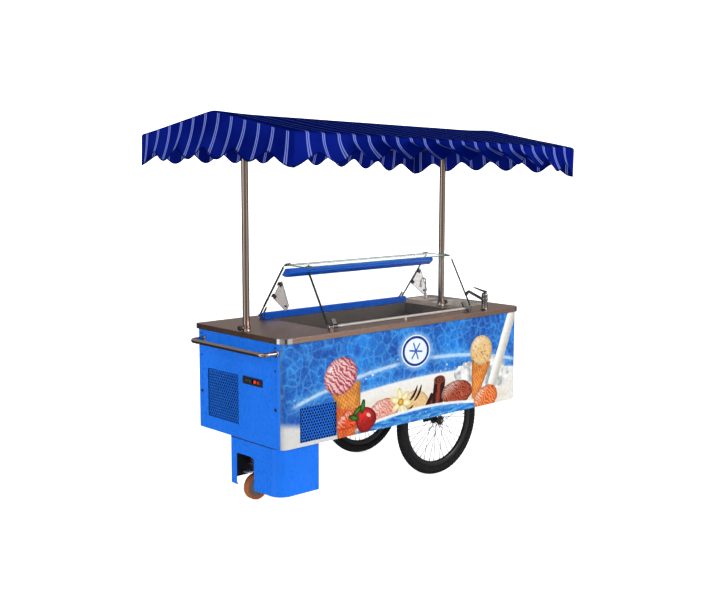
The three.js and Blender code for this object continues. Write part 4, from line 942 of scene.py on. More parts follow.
def make_control(black, key, red, glow):
    """Controller bezel with a recessed window, its two keys and the rocker."""
    face = -HALF_LENGTH - 4
    y0, y1, z0, z1 = CONTROL
    middle = (z0 + z1) / 2
    turn = Matrix(((0, 0, -1, -HALF_LENGTH - 0.3), (-1, 0, 0, 0), (0, 1, 0, 0), (0, 0, 0, 1)))
    mirrored = prism(rectangle(-y1, z0, -y0, z1, (4, 4, 4, 4), 5), 0, 3.6).placed(turn)
    housing = block(face + 1, y0 + 8, z0 + 8, -HALF_LENGTH + 60, y1 - 28, z1 - 8)
    pockets = [block(face - 5, y - 8, middle - 6, face + 6, y + 8, middle + 6) for y in (-78, -106)]
    pockets.append(block(face - 5, -190, middle - 10, face + 14, -166, middle + 10))
    window = block(face - 5, -158, middle - 11, face + 1.2, -122, middle + 11)
    plate = cut(join(mirrored), *pockets, window)
    body = cut(housing, *pockets)
    piece("controller_bezel", join(plate, body), "cabinet", black, ["control_plate"], bevel=0.5)
    screen = block(face + 1.0, -157, middle - 10, face + 1.8, -123, middle + 10)
    window = plastic("window_black", (0.010, 0.004, 0.004), 0.08)
    piece("controller_window", screen, "cabinet", window, slot="black_plastic")
    digits = []
    for start in (-148, -138):
        digits += seven_segment(start, middle, face + 0.9)
    piece("controller_digits", join(*digits), "cabinet", glow, slot="red_plastic")
    for name, y in (("mode", -78), ("set", -106)):
        cap = prism(rectangle(-7, -5, 7, 5, (2.5, 2.5, 2.5, 2.5), 5), 0, 5.4)
        turn_key = Matrix(((0, 0, -1, face + 3.6), (-1, 0, 0, y), (0, 1, 0, middle), (0, 0, 0, 1)))
        piece(f"{name}_key_cap", cap.placed(turn_key), f"key_{name}", key, [f"{name}_key"], bevel=0.8)
    refined("power_switch", red, 0.6)


def seven_segment(y, z, x):
    """An eight made of seven bars, seen from the handle end, where +Y is on the left."""
    bars = []
    for dz in (-6.5, 0, 6.5):
        bars.append(block(x, y - 5.2, z + dz - 0.7, x + 0.4, y - 0.8, z + dz + 0.7))
    for dy in (-6, 0):
        for low, high in ((-5.8, -0.7), (0.7, 5.8)):
            bars.append(block(x, y + dy - 0.7, z + low, x + 0.4, y + dy + 0.7, z + high))
    return bars


# ---- counter --------------------------------------------------------------------------------
RIM_WIDTH, RIM_HEIGHT = 9, 2.2


def opening_outline(opening, grow, steps=8):
    left, front, right, back, _, radius = opening
    r = radius + grow
    return rectangle(left - grow, front - grow, right + grow, back + grow, (r, r, r, r), steps)


def make_counter(steel, polished):
    """Folded sheet with rounded front corners and openings for the well, basins, posts and taps."""
    top, low = COUNTER_TOP, COUNTER_TOP - COUNTER_THICK
    x, y = COUNTER_END, COUNTER_SIDE
    slab = prism(rectangle(-x, -y, x, y, (66, 66, 12, 12), 14), low, top)
    hollow = prism(rectangle(3 - x, 3 - y, x - 3, y - 3, (63, 63, 9, 9), 14), low - 5, top - 3)
    tools = [hollow] + [prism(opening_outline(o, 0), top - 20, top + 5) for o in (WELL, BASIN, DIPPER)]
    for x, y, radius in ((LEFT_POST_X, POST_Y, 23), (RIGHT_POST_X, POST_Y, 23), (*MIXER, 12), (*TAP, 8)):
        tools.append(rod((x, y, top - 20), (x, y, top + 5), radius, 32))
    piece("countertop_sheet", cut(slab, *tools), "cabinet", steel, ["countertop"], bevel=1.3)
    # Painted highlight: thin chrome bands on the two rounded front corners stand in for the bright
    # reflections of the folded corner.
    highlight_bands = []
    for side in (-1, 1):
        arc = [math.radians(180 + 90 * i / 18) for i in range(19)]
        outline = [(66.8 * math.cos(a), 66.8 * math.sin(a)) for a in arc]
        outline += [(66.1 * math.cos(a), 66.1 * math.sin(a)) for a in arc[::-1]]
        outline = [(side * (x - COUNTER_END + 66), y - COUNTER_SIDE + 66) for x, y in outline]
        highlight_bands.append(prism(outline[::-side], low + 1.5, top - 2.5))
    piece("counter_corner_highlight_bands", join(*highlight_bands), "cabinet", polished, slot="chrome")


def tray(opening, wall):
    floor = COUNTER_TOP - opening[4]
    outer = prism(opening_outline(opening, -0.3), floor - wall, COUNTER_TOP)
    inner = prism(opening_outline(opening, -0.3 - wall), floor, COUNTER_TOP + 5)
    return cut(outer, inner)


def rim_ring(opening):
    """A pressed rim that lies on the counter round a basin."""
    outer = prism(opening_outline(opening, RIM_WIDTH, 10), COUNTER_TOP, COUNTER_TOP + RIM_HEIGHT)
    inner = prism(opening_outline(opening, -2.3, 10), COUNTER_TOP - 5, COUNTER_TOP + 9)
    return cut(outer, inner)


def make_trays(satin, bright):
    piece("well_liner_pressed", tray(WELL, 2), "cabinet", satin, ["well_liner"], bevel=0.5)
    basins = (("hand_basin_bowl", BASIN, "hand_basin"), ("dipper_well_bowl", DIPPER, "dipper_well"))
    for name, opening, node in basins:
        x, y = (opening[0] + opening[2]) / 2, (opening[1] + opening[3]) / 2
        floor = COUNTER_TOP - opening[4]
        bore = rod((x, y, floor - 45), (x, y, floor + 5), 12, 24)
        stub = rod((x, y, floor - 40), (x, y, floor - 1), 16, 24)
        bowl = cut(join(tray(opening, 2), stub), bore)
        piece(name, bowl, "cabinet", bright, [node], bevel=0.5)
        piece(name + "_rim", rim_ring(opening), "cabinet", bright, slot="liner_steel", bevel=0.9)
        strainer = lathe([(4, 0.4), (21, 0.4), (21, 1.4), (15, 2.2), (9, 1.2), (4, 1.0)], 32)
        slots = [rod((x, y, floor + 0.5), (x, y, floor + 1.4), 3.2, 16)]
        piece(name + "_drain", join(strainer.moved(x, y, floor), *slots), "cabinet", bright, slot="chrome")


# ---- wheels and caster ----------------------------------------------------------------------
def on_wheel(shape, y):
    """Turns a shape made round Z onto the wheel's axis, along Y."""
    return shape.turned(-math.pi / 2, "X").moved(WHEEL_X, y, WHEEL_RADIUS)


def tyre_profile():
    """Round section with raised shoulder and middle ribs."""
    middle, half, height = WHEEL_RADIUS - 27.5, 27.0, 27.2
    outline = []
    for i in range(40):
        angle = 2 * math.pi * i / 40
        rib = 0.0
        if math.cos(angle) > 0.35:
            rib = -1.1 if i % 4 in (1, 2) else 0.0
        outline.append((middle + (height + rib) * math.cos(angle), (half + rib) * math.sin(angle)))
    return outline


def tread_blocks():
    """Shoulder knobs of the tyre, set in two staggered rows."""
    shapes = []
    count = 84
    for i in range(count):
        for side in (-1, 1):
            angle = 2 * math.pi * (i + (0.25 if side > 0 else -0.25)) / count
            lay = Matrix.Rotation(angle, 4, "Z") @ Matrix.Translation((WHEEL_RADIUS - 8.6, 0, side * 18.6))
            knob = block(-1.4, -4.6, -4.2, 1.2, 4.6, 4.2).turned(side * -0.76, "Y").placed(lay)
            shapes.append(knob)
    return join(*shapes)


def rim_profile():
    low = [(RIM_INNER, -7), (RIM_INNER + 3, -11), (RIM_OUTER - 8, -15), (RIM_OUTER + 3, -15),
           (RIM_OUTER + 3, -13), (RIM_OUTER - 0.3, -12), (RIM_OUTER - 4, -6)]
    return low + [(radius, -across) for radius, across in low[::-1]] + [(RIM_INNER - 1, 0)]


def spokes():
    """Thirty-six crossed spokes with nipples."""
    shapes = []
    count = 36
    for i in range(count):
        side = 1 if i % 2 else -1
        rake = 1.15 if (i // 2) % 2 else -1.15
        outer_angle = 2 * math.pi * (i + 0.5) / count
        inner_angle = outer_angle + rake
        a = Vector((24 * math.cos(inner_angle), 24 * math.sin(inner_angle), side * 26))
        b = Vector((255 * math.cos(outer_angle), 255 * math.sin(outer_angle), side * 2))
        shapes.append(sweep([a, b], 1.5, 8))
        near_rim = b + (a - b).normalized() * 13
        shapes.append(sweep([near_rim, b], 2.2, 8))
        shapes.append(lathe([(0, -3.2), (2.2, -3.2), (2.2, 3.2), (0, 3.2)], 8).moved(*a))
    return join(*shapes)


def hub():
    """Hub shell with two flanges; a stepped barrel between them."""
    half = [(16, 0), (16, 18), (27, 22.5), (28.5, 24), (28.5, 27.5), (27, 28.5)]
    half += [(15, 30), (13, 33), (6.3, 33)]
    mirror = [(r, -z) for r, z in half[1:]][::-1]
    return lathe(mirror + half, 40)


def make_wheels(tyre, rim, spoke, hub_paint, cap):
    for side, y, out in (("near", -WHEEL_Y, -1), ("far", WHEEL_Y, 1)):
        body = f"{side}_wheel"
        rubber_shape = join(lathe(tyre_profile(), 120), tread_blocks())
        piece(f"{side}_tyre_tread", on_wheel(rubber_shape, y), body, tyre, [f"tyre_{side}"], smooth=34)
        piece(f"{side}_rim_hoop", on_wheel(lathe(rim_profile(), 96), y), body, rim, [f"rim_{side}"])
        piece(f"{side}_spokes", on_wheel(spokes(), y), body, spoke, [f"spoked_hub_{side}"])
        piece(f"{side}_hub_shell", on_wheel(hub(), y), body, hub_paint, slot="black_metal")
        valve = rod((RIM_INNER - 22, 0, 0), (RIM_INNER + 2, 0, 0), 3.2, 14)
        piece(f"{side}_valve", on_wheel(valve, y), body, rim, slot="black_metal")
        nut = join(prism(hexagon(9), 33.6, 39),
                   lathe([(0, 38.5), (8, 38.5), (6.5, 43), (0, 45)], 24))
        nut = nut if out > 0 else nut.turned(math.pi, "X")
        piece(f"{side}_axle_nut", on_wheel(nut, y), "cabinet", cap, slot="chrome")


def make_caster(plate, tread, core):
    refined("caster_leg", plate, 1.0)
    refined("caster_fork", plate, 1.0)
    refined("brake_pedal", plate, 1.0)
    width, radius, x = 20, 75, -857
    tread_half = [(54, -15), (70, -width), (73.5, -18), (75, -12)]
    core_half = [(6.3, -23), (18, -23), (19, -17), (30, -12), (50, -13.5), (57, -15)]
    tread_outline, core_outline = [
        half + [(r, -across) for r, across in half[::-1]] for half in (tread_half, core_half)]
    outer = lathe(tread_outline, 64).turned(-math.pi / 2, "X").moved(x, 0, radius)
    middle = lathe(core_outline, 48).turned(-math.pi / 2, "X").moved(x, 0, radius)
    piece("caster_tread_ring", outer, "caster_roller", tread, ["caster_wheel"])
    piece("caster_wheel_core", middle, "caster_roller", core, slot="zinc_bright")


# ---- sneeze guard ---------------------------------------------------------------------------
def on_pane(low, high, along, across):
    """A (y, z) point on a pane, measured along it from its lower edge and across it."""
    start, end = Vector(low), Vector(high)
    way = (end - start).normalized()
    side = Vector((-way.y, way.x))
    return start + way * along + side * across


def pane(low, high, x0, x1, thickness, start=0.0):
    """A glass pane: material 0 on its two faces, material 1 on its polished edges."""
    length = (Vector(high) - Vector(low)).length
    half = thickness / 2
    places = ((start, half), (start, -half), (length, -half), (length, half))
    corners = [on_pane(low, high, along, across) for along, across in places]
    points = [(x, c.x, c.y) for x in (x0, x1) for c in corners]
    faces = [(0, 3, 7, 4), (1, 5, 6, 2), (0, 1, 2, 3), (4, 7, 6, 5), (0, 4, 5, 1), (3, 2, 6, 7)]
    return Shape(points, faces, None, [0, 0, 1, 1, 1, 1])


def slab_on_pane(low, high, a0, a1, x0, x1, thickness, radius=3.0):
    """A plate with rounded corners lying along a pane, from a0 to a1 along it."""
    way = (Vector(high) - Vector(low)).normalized()
    side = Vector((-way.y, way.x))
    lay = Matrix(((1, 0, 0, 0), (0, way.x, side.x, low[0]), (0, way.y, side.y, low[1]), (0, 0, 0, 1)))
    outline = rectangle(x0, a0, x1, a1, (radius,) * 4, 5)
    return prism(outline, -thickness / 2, thickness / 2).placed(lay)


def edge_strips(low, high, start, stop):
    """Dark channels clipped over the side edges of a pane."""
    length = (Vector(high) - Vector(low)).length
    shapes = []
    for x0, x1 in ((GUARD_LEFT - 1.2, GUARD_LEFT + 7), (GUARD_RIGHT - 6, GUARD_RIGHT)):
        channel = slab_on_pane(low, high, start, length - stop, x0, x1, GLASS + 3, 1.0)
        shapes.append(channel)
    return join(*shapes)


def make_front_glass(glass, edge, metal, bright, trim):
    y, z = FRONT_HINGE
    bar = rod((GUARD_LEFT + 6, y, z), (GUARD_RIGHT - 6, y, z), 8, 32)
    blocks = []
    for x, out in ((GUARD_LEFT + 20, -1), (GUARD_RIGHT - 20, 1)):
        outline = [(-9, COUNTER_TOP + 0.3), (9, COUNTER_TOP + 0.3)]
        outline += [(9 * math.cos(i * math.pi / 12), z + 9 * math.sin(i * math.pi / 12)) for i in range(13)]
        blocks.append(along_x([(y + a, b) for a, b in outline], x - 12, x + 12))
        blocks.append(acorn(x + out * 12, y, z, (out, 0, 0), 6.5))
        blocks.append(block(x - 14, y - 14, COUNTER_TOP + 0.3, x + 14, y + 14, COUNTER_TOP + 2.5))
    clip = block(-8, y - 8, COUNTER_TOP + 0.3, 8, y + 8, z - 4)
    piece("front_guard_rod", join(bar, clip), "cabinet", bright, ["front_glass_rod"], bevel=0.5)
    piece("front_rod_blocks", join(*blocks), "cabinet", metal, slot="chrome", bevel=0.5)
    sheet = pane(FRONT_HINGE, FRONT_TOP, GUARD_LEFT, GUARD_RIGHT, GLASS, 15)
    piece("front_glass_pane", sheet, "front_pane", [glass, edge], ["front_glass"])
    strips = edge_strips(FRONT_HINGE, FRONT_TOP, 18, 12)
    piece("front_glass_edge_strips", strips, "front_pane", trim, slot="black_metal", bevel=0.5)
    parts = []
    for x in (GUARD_LEFT + 52, GUARD_RIGHT - 52):
        parts.append(tube((x - 14, y, z), (x + 14, y, z), 13, 8.4, 32))
        for across in (GLASS / 2 + 1.6, -GLASS / 2 - 1.6):
            low = on_pane(FRONT_HINGE, FRONT_TOP, 0, across)
            high = on_pane(FRONT_HINGE, FRONT_TOP, 300, across)
            parts.append(slab_on_pane(low, high, 10, 44, x - 14, x + 14, 3))
        middle = on_pane(FRONT_HINGE, FRONT_TOP, 31, -GLASS / 2 - 3.1)
        way = on_pane(FRONT_HINGE, FRONT_TOP, 31, -GLASS / 2 - 4.1) - middle
        parts.append(acorn(x, middle.x, middle.y, (0, way.x, way.y), 5.0))
    piece("front_glass_clamps", join(*parts), "front_pane", metal, slot="chrome", bevel=0.4)


def make_rear_glass(glass, edge, metal, trim, blue, plate, plate_edge):
    x0, x1 = GUARD_LEFT + 6, GUARD_RIGHT - 6
    foot = COUNTER_TOP + 0.3
    profile = [(240, foot), (268, foot), (268, 1006), (262, 1012), (246, 1012), (240, 1006)]
    shapes = [along_x(profile, x0, x1)]
    for x in (GUARD_LEFT, GUARD_RIGHT - 30):
        ear = [(264, foot), (300, foot), (300, 995), (294, 1001), (264, 1001)]
        shapes.append(along_x(ear, x + 8, x + 22))
    piece("rear_rail_folded", join(*shapes), "cabinet", blue, ["rear_glass_rail"], bevel=0.9)
    pins = [rod((x, *REAR_FOOT), (x + 30, *REAR_FOOT), 4, 20) for x in (GUARD_LEFT, GUARD_RIGHT - 30)]
    pins.append(acorn(GUARD_LEFT + 0.5, *REAR_FOOT, (-1, 0, 0), 6))
    pins.append(acorn(GUARD_RIGHT - 0.5, *REAR_FOOT, (1, 0, 0), 6))
    for x, out in ((x0, -1), (x1, 1)):
        pins.append(bolt(x, 254, 994, (out, 0, 0), 6.5, 4))
    piece("rear_rail_pins", join(*pins), "cabinet", metal, slot="chrome")
    sheet = pane(REAR_FOOT, REAR_TOP, GUARD_LEFT, GUARD_RIGHT, GLASS, 14)
    piece("rear_glass_pane", sheet, "rear_pane", [glass, edge], ["rear_glass"])
    strips = edge_strips(REAR_FOOT, REAR_TOP, 64, 8)
    piece("rear_glass_edge_strips", strips, "rear_pane", trim, slot="black_metal", bevel=0.5)
    eyes = []
    for x in (GUARD_LEFT + 1, GUARD_LEFT + 24, GUARD_RIGHT - 29, GUARD_RIGHT - 6):
        eyes.append(tube((x, *REAR_FOOT), (x + 5, *REAR_FOOT), 9, 4.3, 24))
        eyes.append(slab_on_pane(REAR_FOOT, REAR_TOP, 8, 60, x, x + 5, 10, 2))
    piece("rear_glass_eyes", join(*eyes), "rear_pane", metal, slot="chrome", bevel=0.4)
    for side, x in (("left", GUARD_LEFT + 33), ("right", GUARD_RIGHT + 0.3)):
        make_stay(side, x, plate, plate_edge, metal)
    outline = [(52, 1286), (10, 1286), (4, 1280), (4, 1262), (34, 1238), (60, 1238), (84, 1246)]
    rail = along_x(outline[::-1], GUARD_LEFT + 4, GUARD_RIGHT - 4)
    piece("lamp_rail_folded", rail, "rear_pane", blue, ["lamp_rail"], bevel=1.2)


def make_stay(side, x, plate, plate_edge, metal):
    """Clear corner plate with rounded points, three bolts through it and two brackets on the glass."""
    inset = GLASS / 2 + 0.3
    marks = [(137, inset), (275, inset), (200, 140), (155, 140)]
    corners = [Vector((*on_pane(REAR_FOOT, REAR_TOP, a, c), 0)) for a, c in marks]
    ring = corners[-1:] + corners + corners[:1]
    outline = []
    for before, corner, after in zip(ring, ring[1:], ring[2:]):
        outline += [(p.x, p.y) for p in filleted([before, corner, after], 9, 5)[1:-1]]
    area = sum(a[0] * b[1] - b[0] * a[1] for a, b in zip(outline, outline[1:] + outline[:1]))
    sheet = along_x(outline if area > 0 else outline[::-1], x, x + 5)
    sheet = sheet.painted(1)
    sheet.paint[0] = sheet.paint[1] = 0
    piece(f"{side}_stay_sheet", sheet, "rear_pane", [plate, plate_edge], [f"stay_plate_{side}"])
    bolts = []
    for a, c in ((250, 15), (158, 15), (180, 122)):
        y, z = on_pane(REAR_FOOT, REAR_TOP, a, c)
        bolts.append(acorn(x + 5, y, z, (1, 0, 0), 5.2))
        bolts.append(acorn(x, y, z, (-1, 0, 0), 5.2))
    for a in (250, 158):
        low, high = on_pane(REAR_FOOT, REAR_TOP, a - 13, 4.4), on_pane(REAR_FOOT, REAR_TOP, a + 13, 4.4)
        bolts.append(slab_on_pane(low, high, 0, 26, x - 16, x, 2.4, 2))
        foot = [on_pane(REAR_FOOT, REAR_TOP, a + s * 11, c) for s, c in ((-1, 4), (1, 4), (1, 27), (-1, 27))]
        ear = [(p.x, p.y) for p in foot]
        bolts.append(along_x(ear[::-1], x - 2.4, x - 0.1))
    piece(f"{side}_stay_bolts", join(*bolts), "rear_pane", metal, slot="chrome", bevel=0.3)


def make_top_glass(glass, edge, metal):
    sheet = pane(TOP_FRONT, TOP_HINGE, GUARD_LEFT, GUARD_RIGHT, GLASS)
    piece("top_glass_pane", sheet, "top_pane", [glass, edge], ["top_glass"])
    parts = []
    for x in (GUARD_LEFT + 26, GUARD_RIGHT - 26):
        for y0, y1 in ((20, 58), (-143, -112)):
            parts.append(prism(rectangle(x - 14, y0, x + 14, y1, (4,) * 4, 5), 1310.1, 1312.8))
            parts.append(acorn(x, (y0 + y1) / 2, 1312.8, (0, 0, 1), 5.0))
        parts.append(rod((x - 14, 60, 1311.5), (x + 14, 60, 1311.5), 3.6, 20))
        parts.append(prism(rectangle(x - 12, -144, x + 12, -114, (4,) * 4, 5), 1301.6, 1303.9))
    piece("top_glass_clamps", join(*parts), "top_pane", metal, slot="chrome", bevel=0.4)


# ---- taps -----------------------------------------------------------------------------------
def make_mixer(metal):
    seat = Matrix.Translation((*MIXER, COUNTER_TOP)) @ Matrix.Rotation(SPOUT_YAW, 4, "Z")
    column = [(0, -45), (9, -45), (9, 0.3), (24.5, 0.3), (24.8, 2.5), (23, 5), (20, 6.5), (19, 9)]
    column += [(19, 51.7), (15, 51.7), (15, 76), (0, 76)]
    body = lathe(column, 48).placed(seat)
    piece("mixer_column", body, "cabinet", metal, ["mixer_body"])
    ring = lathe([(15.3, 52), (20, 52), (20.6, 54), (20.6, 72), (20, 74), (15.3, 74)], 48)
    path = filleted([(0, 14, 61), (0, 168, 96), (0, 190, 78)], 16, 10)
    neck = sweep(path, 9.2, 28)
    nose = rod((0, 181, 85.4), (0, 193, 75.5), 11, 28)
    piece("mixer_outlet", join(ring, neck, nose).placed(seat), "spout", metal, ["mixer_spout"])
    dome = [(0, 76.3), (18.6, 76.3), (19.4, 78), (19.4, 92), (18, 99), (14, 104.5), (8, 106), (0, 106)]
    cap = lathe(dome, 48)
    piece("mixer_dome", cap.placed(seat), "cap", metal, ["mixer_cap"])
    piece("mixer_handle", lever_shape().placed(seat), "lever", metal, ["mixer_lever"], bevel=0.5)


def lever_shape():
    """A flat handle, broad at its root and rounded at its tip."""
    stations = [(-18, 108, 116, 8), (-14, 107, 119, 9.4), (0, 107, 120, 10), (14, 108.5, 120.5, 9.6),
                (40, 112.5, 123, 8.0), (70, 117.5, 126.5, 7.2), (98, 122.5, 129.5, 7.8),
                (110, 124.5, 130, 7.0), (117, 126.5, 129, 4.0)]
    points, faces = [], []
    sides = 16
    for y, low, high, half in stations:
        for i in range(sides):
            angle = 2 * math.pi * i / sides
            c, s = math.cos(angle), math.sin(angle)
            x = half * math.copysign(abs(c) ** 0.6, c)
            z = (low + high) / 2 + (high - low) / 2 * math.copysign(abs(s) ** 0.8, s)
            points.append((x, y, z))
    for n in range(len(stations) - 1):
        for i in range(sides):
            k = (i + 1) % sides
            faces.append((n * sides + i, (n + 1) * sides + i, (n + 1) * sides + k, n * sides + k))
    faces.append(tuple(range(sides)))
    faces.append(tuple(range((len(stations) - 1) * sides, len(stations) * sides))[::-1])
    return Shape(points, faces)


def make_tap(metal):
    x, y, z = TAP[0], TAP[1], COUNTER_TOP
    foot = [(0, -40), (6, -40), (6, 0.3), (13, 0.3), (13.4, 2), (12, 4.5), (10, 7), (10, 20), (0, 20)]
    base = lathe(foot, 40)
    piece("tap_base", base.moved(x, y, z), "cabinet", metal, ["tap_body"])
    path = [(0, 0, 22), (0, 0, 104)]
    bow = [math.pi * i / 16 for i in range(1, 17)]
    path += [(-24 + 24 * math.cos(a), 0, 104 + 24 * math.sin(a)) for a in bow]
    path.append((-48, 0, 72))
    nut = lathe([(0, 20.3), (9.3, 20.3), (9.3, 30), (7, 33), (5, 34), (0, 34)], 40)
    tip = lathe([(0, 68), (7.4, 68), (8, 69), (8, 82), (5.5, 85), (0, 85)], 32).moved(-48, 0, 0)
    neck = join(sweep(path, 5.2, 24), nut, tip).moved(x, y, z)
    piece("tap_swan_neck", neck, "swan_neck", metal, ["gooseneck"])


# ---- parts inside the cabinet ---------------------------------------------------------------
def make_inside(zinc_paint, black, fin_paint, foam_paint, white, grey):
    for node in ("chassis_frame", "base_pan"):
        refined(node, zinc_paint, 0.8)
    refined("axle", black, 0.8)
    refined("tank_insulation", foam_paint, 2.0)
    refined("compressor", black, 1.5)
    refined("condenser", fin_paint, 0.4)
    refined("fan_shroud", zinc_paint, 0.8)
    refined("condenser_fan", grey, 0.6)
    refined("fresh_water_can", white, 5.0)
    refined("waste_water_can", white, 5.0)


# ---- printed film ---------------------------------------------------------------------------
class Print(Paint):
    """The film's node tree. Places on it are metres: x along the panel, z above the ground."""

    def __init__(self):
        super().__init__("printed_wrap", (0.1, 0.3, 0.7), 0.0, 0.3)
        place = self.place()
        split = self.node("SeparateXYZ", {0: place})
        y = Number(self, split.outputs[1])
        self.x = Number(self, split.outputs[0]) - (y + HALF_DEPTH * MM) * 0.57
        self.z = Number(self, split.outputs[2])
        self.flat = self.node("CombineXYZ", {0: self.x.socket, 1: self.z.socket, 2: 0.0}).outputs[0]
        self.ink = None

    def lay(self, mask, color):
        """Prints a color over what is there."""
        self.ink = self.mix(mask, self.ink, color)

    def local(self, x, z, turn=0.0):
        """Coordinates centred on (x, z), turned anticlockwise by turn degrees."""
        c, s = math.cos(math.radians(turn)), math.sin(math.radians(turn))
        dx, dz = self.x - x, self.z - z
        return dx * c + dz * s, dz * c - dx * s

    def oval(self, u, v, wide, high, wobble=0.0, scale=40.0):
        """How far out a place is: 0 at the middle, 1 on the outline."""
        a, b = u / wide, v / high
        far = self.math("SQRT", a * a + b * b)
        if wobble:
            far = far + (self.noise(self.flat, scale, 2) - 0.5) * wobble
        return far

    def inside(self, far, soft=0.05):
        return self.ramp(far, 1.0 - soft, 1.0, 1.0, 0.0)

    def curve(self, peak_x, peak_z, bend):
        """Height over a parabola with its top at (peak_x, peak_z)."""
        d = self.x - peak_x
        return self.z - (d * d * (-bend) + peak_z)

    def hollow(self, far, base, shade):
        """base darkened towards the outline, so a print of a ball looks round."""
        return self.mix(self.ramp(far, 0.45, 1.05), base, shade)


def print_water(p):
    drift = p.warped(p.flat, 6, 0.06)
    big = p.cells(drift, 17, "DISTANCE_TO_EDGE")
    small = p.cells(p.warped(p.flat, 16, 0.025), 36, "DISTANCE_TO_EDGE")
    cloud = p.noise(p.flat, 4, 4)
    deep = p.mix(p.ramp(cloud, 0.35, 0.7), (0.005, 0.155, 0.52), (0.020, 0.33, 0.80))
    lines = p.ramp(big, 0.0, 0.13, 1.0, 0.0) * 0.30 + p.ramp(small, 0.0, 0.12, 1.0, 0.0) * 0.18
    p.ink = p.mix(lines, deep, (0.26, 0.68, 1.0))
    shadow = p.ramp(p.noise(p.warped(p.flat, 9, 0.05), 12, 2), 0.50, 0.68)
    p.lay(shadow * 0.55, (0.004, 0.115, 0.47))
    p.lay(p.ramp(p.z, 0.62, 0.50) * 0.45, (0.008, 0.135, 0.52))


def print_arc(p):
    """The white light trail with its sparkles, broken at the middle."""
    over = p.curve(0.10, 0.737, 0.143)
    gap = p.math("ABSOLUTE", p.x - 0.035)
    ends = p.ramp(gap, 0.10, 0.17) * p.ramp(p.math("ABSOLUTE", p.x - 0.03), 0.97, 0.86)
    streak = p.noise(p.scaled(p.flat, 5, 60, 1), 6, 3)
    p.lay(p.ramp(p.math("ABSOLUTE", over), 0.0, 0.055, 1.0, 0.0) * ends * 0.35, (0.40, 0.72, 0.96))
    band = p.ramp(p.math("ABSOLUTE", over), 0.004, 0.016, 1.0, 0.0) * p.ramp(streak, 0.30, 0.55, 0.35, 1.0)
    p.lay(band * ends * 0.65, (0.86, 0.94, 1.0))
    dots = p.cells(p.flat, 26)
    near = p.ramp(p.math("ABSOLUTE", over + 0.03), 0.03, 0.09, 1.0, 0.0)
    patchy = p.ramp(p.noise(p.flat, 5, 2), 0.50, 0.62)
    p.lay(p.ramp(dots, 0.10, 0.26, 1.0, 0.0) * near * patchy, (0.93, 0.98, 1.0))


def print_badge(p):
    """A plain round ornament: white disc, blue rim and a six-armed crystal."""
    u, v = p.local(0.037, 0.792, -8)
    far = p.oval(u, v, 0.122, 0.098)
    p.lay(p.ramp(far, 1.35, 0.98) * 0.5, (0.55, 0.80, 0.97))
    p.lay(p.inside(far, 0.04), (0.90, 0.95, 1.0))
    p.lay(p.inside(far / 0.93, 0.04), (0.010, 0.06, 0.38))
    p.lay(p.inside(far / 0.78, 0.04), (0.85, 0.91, 0.97))
    crystal = None
    for turn in (0, 60, 120):
        a, b = p.local(0.037, 0.792, turn - 8)
        arm = p.ramp(p.math("ABSOLUTE", a), 0.058, 0.052, 0.0, 1.0)
        arm = arm * p.ramp(p.math("ABSOLUTE", b), 0.006, 0.004, 0.0, 1.0)
        crystal = arm if crystal is None else p.math("MAXIMUM", crystal, arm)
    p.lay(crystal, (0.02, 0.20, 0.62))


def print_cream(p):
    """The cream wave across the lower half and the pale corners."""
    top = p.curve(0.18, 0.636, 0.083)
    left_side = p.ramp(p.x, -0.60, -0.42)
    p.lay(p.ramp(top, 0.035, -0.012) * 0.35 * left_side, (0.55, 0.80, 0.96))
    wave = p.ramp(top, 0.008, -0.008)
    cloud = p.ramp(p.noise(p.scaled(p.flat, 2, 9, 1), 3, 3), 0.3, 0.7)
    cream = p.mix(cloud, (0.82, 0.78, 0.69), (0.88, 0.85, 0.79))
    cream = p.mix(p.ramp(top, -0.10, 0.0), cream, (0.88, 0.88, 0.86))
    body = wave * p.ramp(p.x, -0.97, -0.50, 0.0, 1.0)
    p.lay(p.math("MINIMUM", body * 1.6, 1.0) * wave * p.ramp(p.x, -0.62, -0.50), cream)
    corner = p.ramp(p.curve(-1.1, 0.515, 0.45), 0.025, -0.025) * p.ramp(p.x, -0.40, -0.52)
    p.lay(corner, (0.76, 0.76, 0.74))
    p.lay(p.ramp(p.x, 0.80, 0.93) * wave * 0.6, (0.84, 0.85, 0.84))


def print_crescent(p):
    """The blue crescent under the cream, with a white rim and a scatter of sparkles."""
    bottom = p.curve(0.10, 0.442, 0.165)
    middle = p.ramp(p.x, -0.47, -0.40) * p.ramp(p.x, 0.585, 0.560)
    glints = p.ramp(p.cells(p.flat, 34), 0.26, 0.12, 0.0, 1.0)
    current = p.ramp(p.noise(p.scaled(p.flat, 2, 12, 1), 6, 4), 0.35, 0.65)
    water = p.mix(current, (0.02, 0.22, 0.62), (0.16, 0.52, 0.85))
    p.lay(p.ramp(bottom, 0.002, -0.004) * middle, p.mix(glints * 0.6, water, (0.75, 0.90, 0.98)))
    rim = p.ramp(p.math("ABSOLUTE", bottom - 0.004), 0.005, 0.012, 1.0, 0.0) * middle
    p.lay(rim * 0.9, (0.90, 0.94, 0.97))


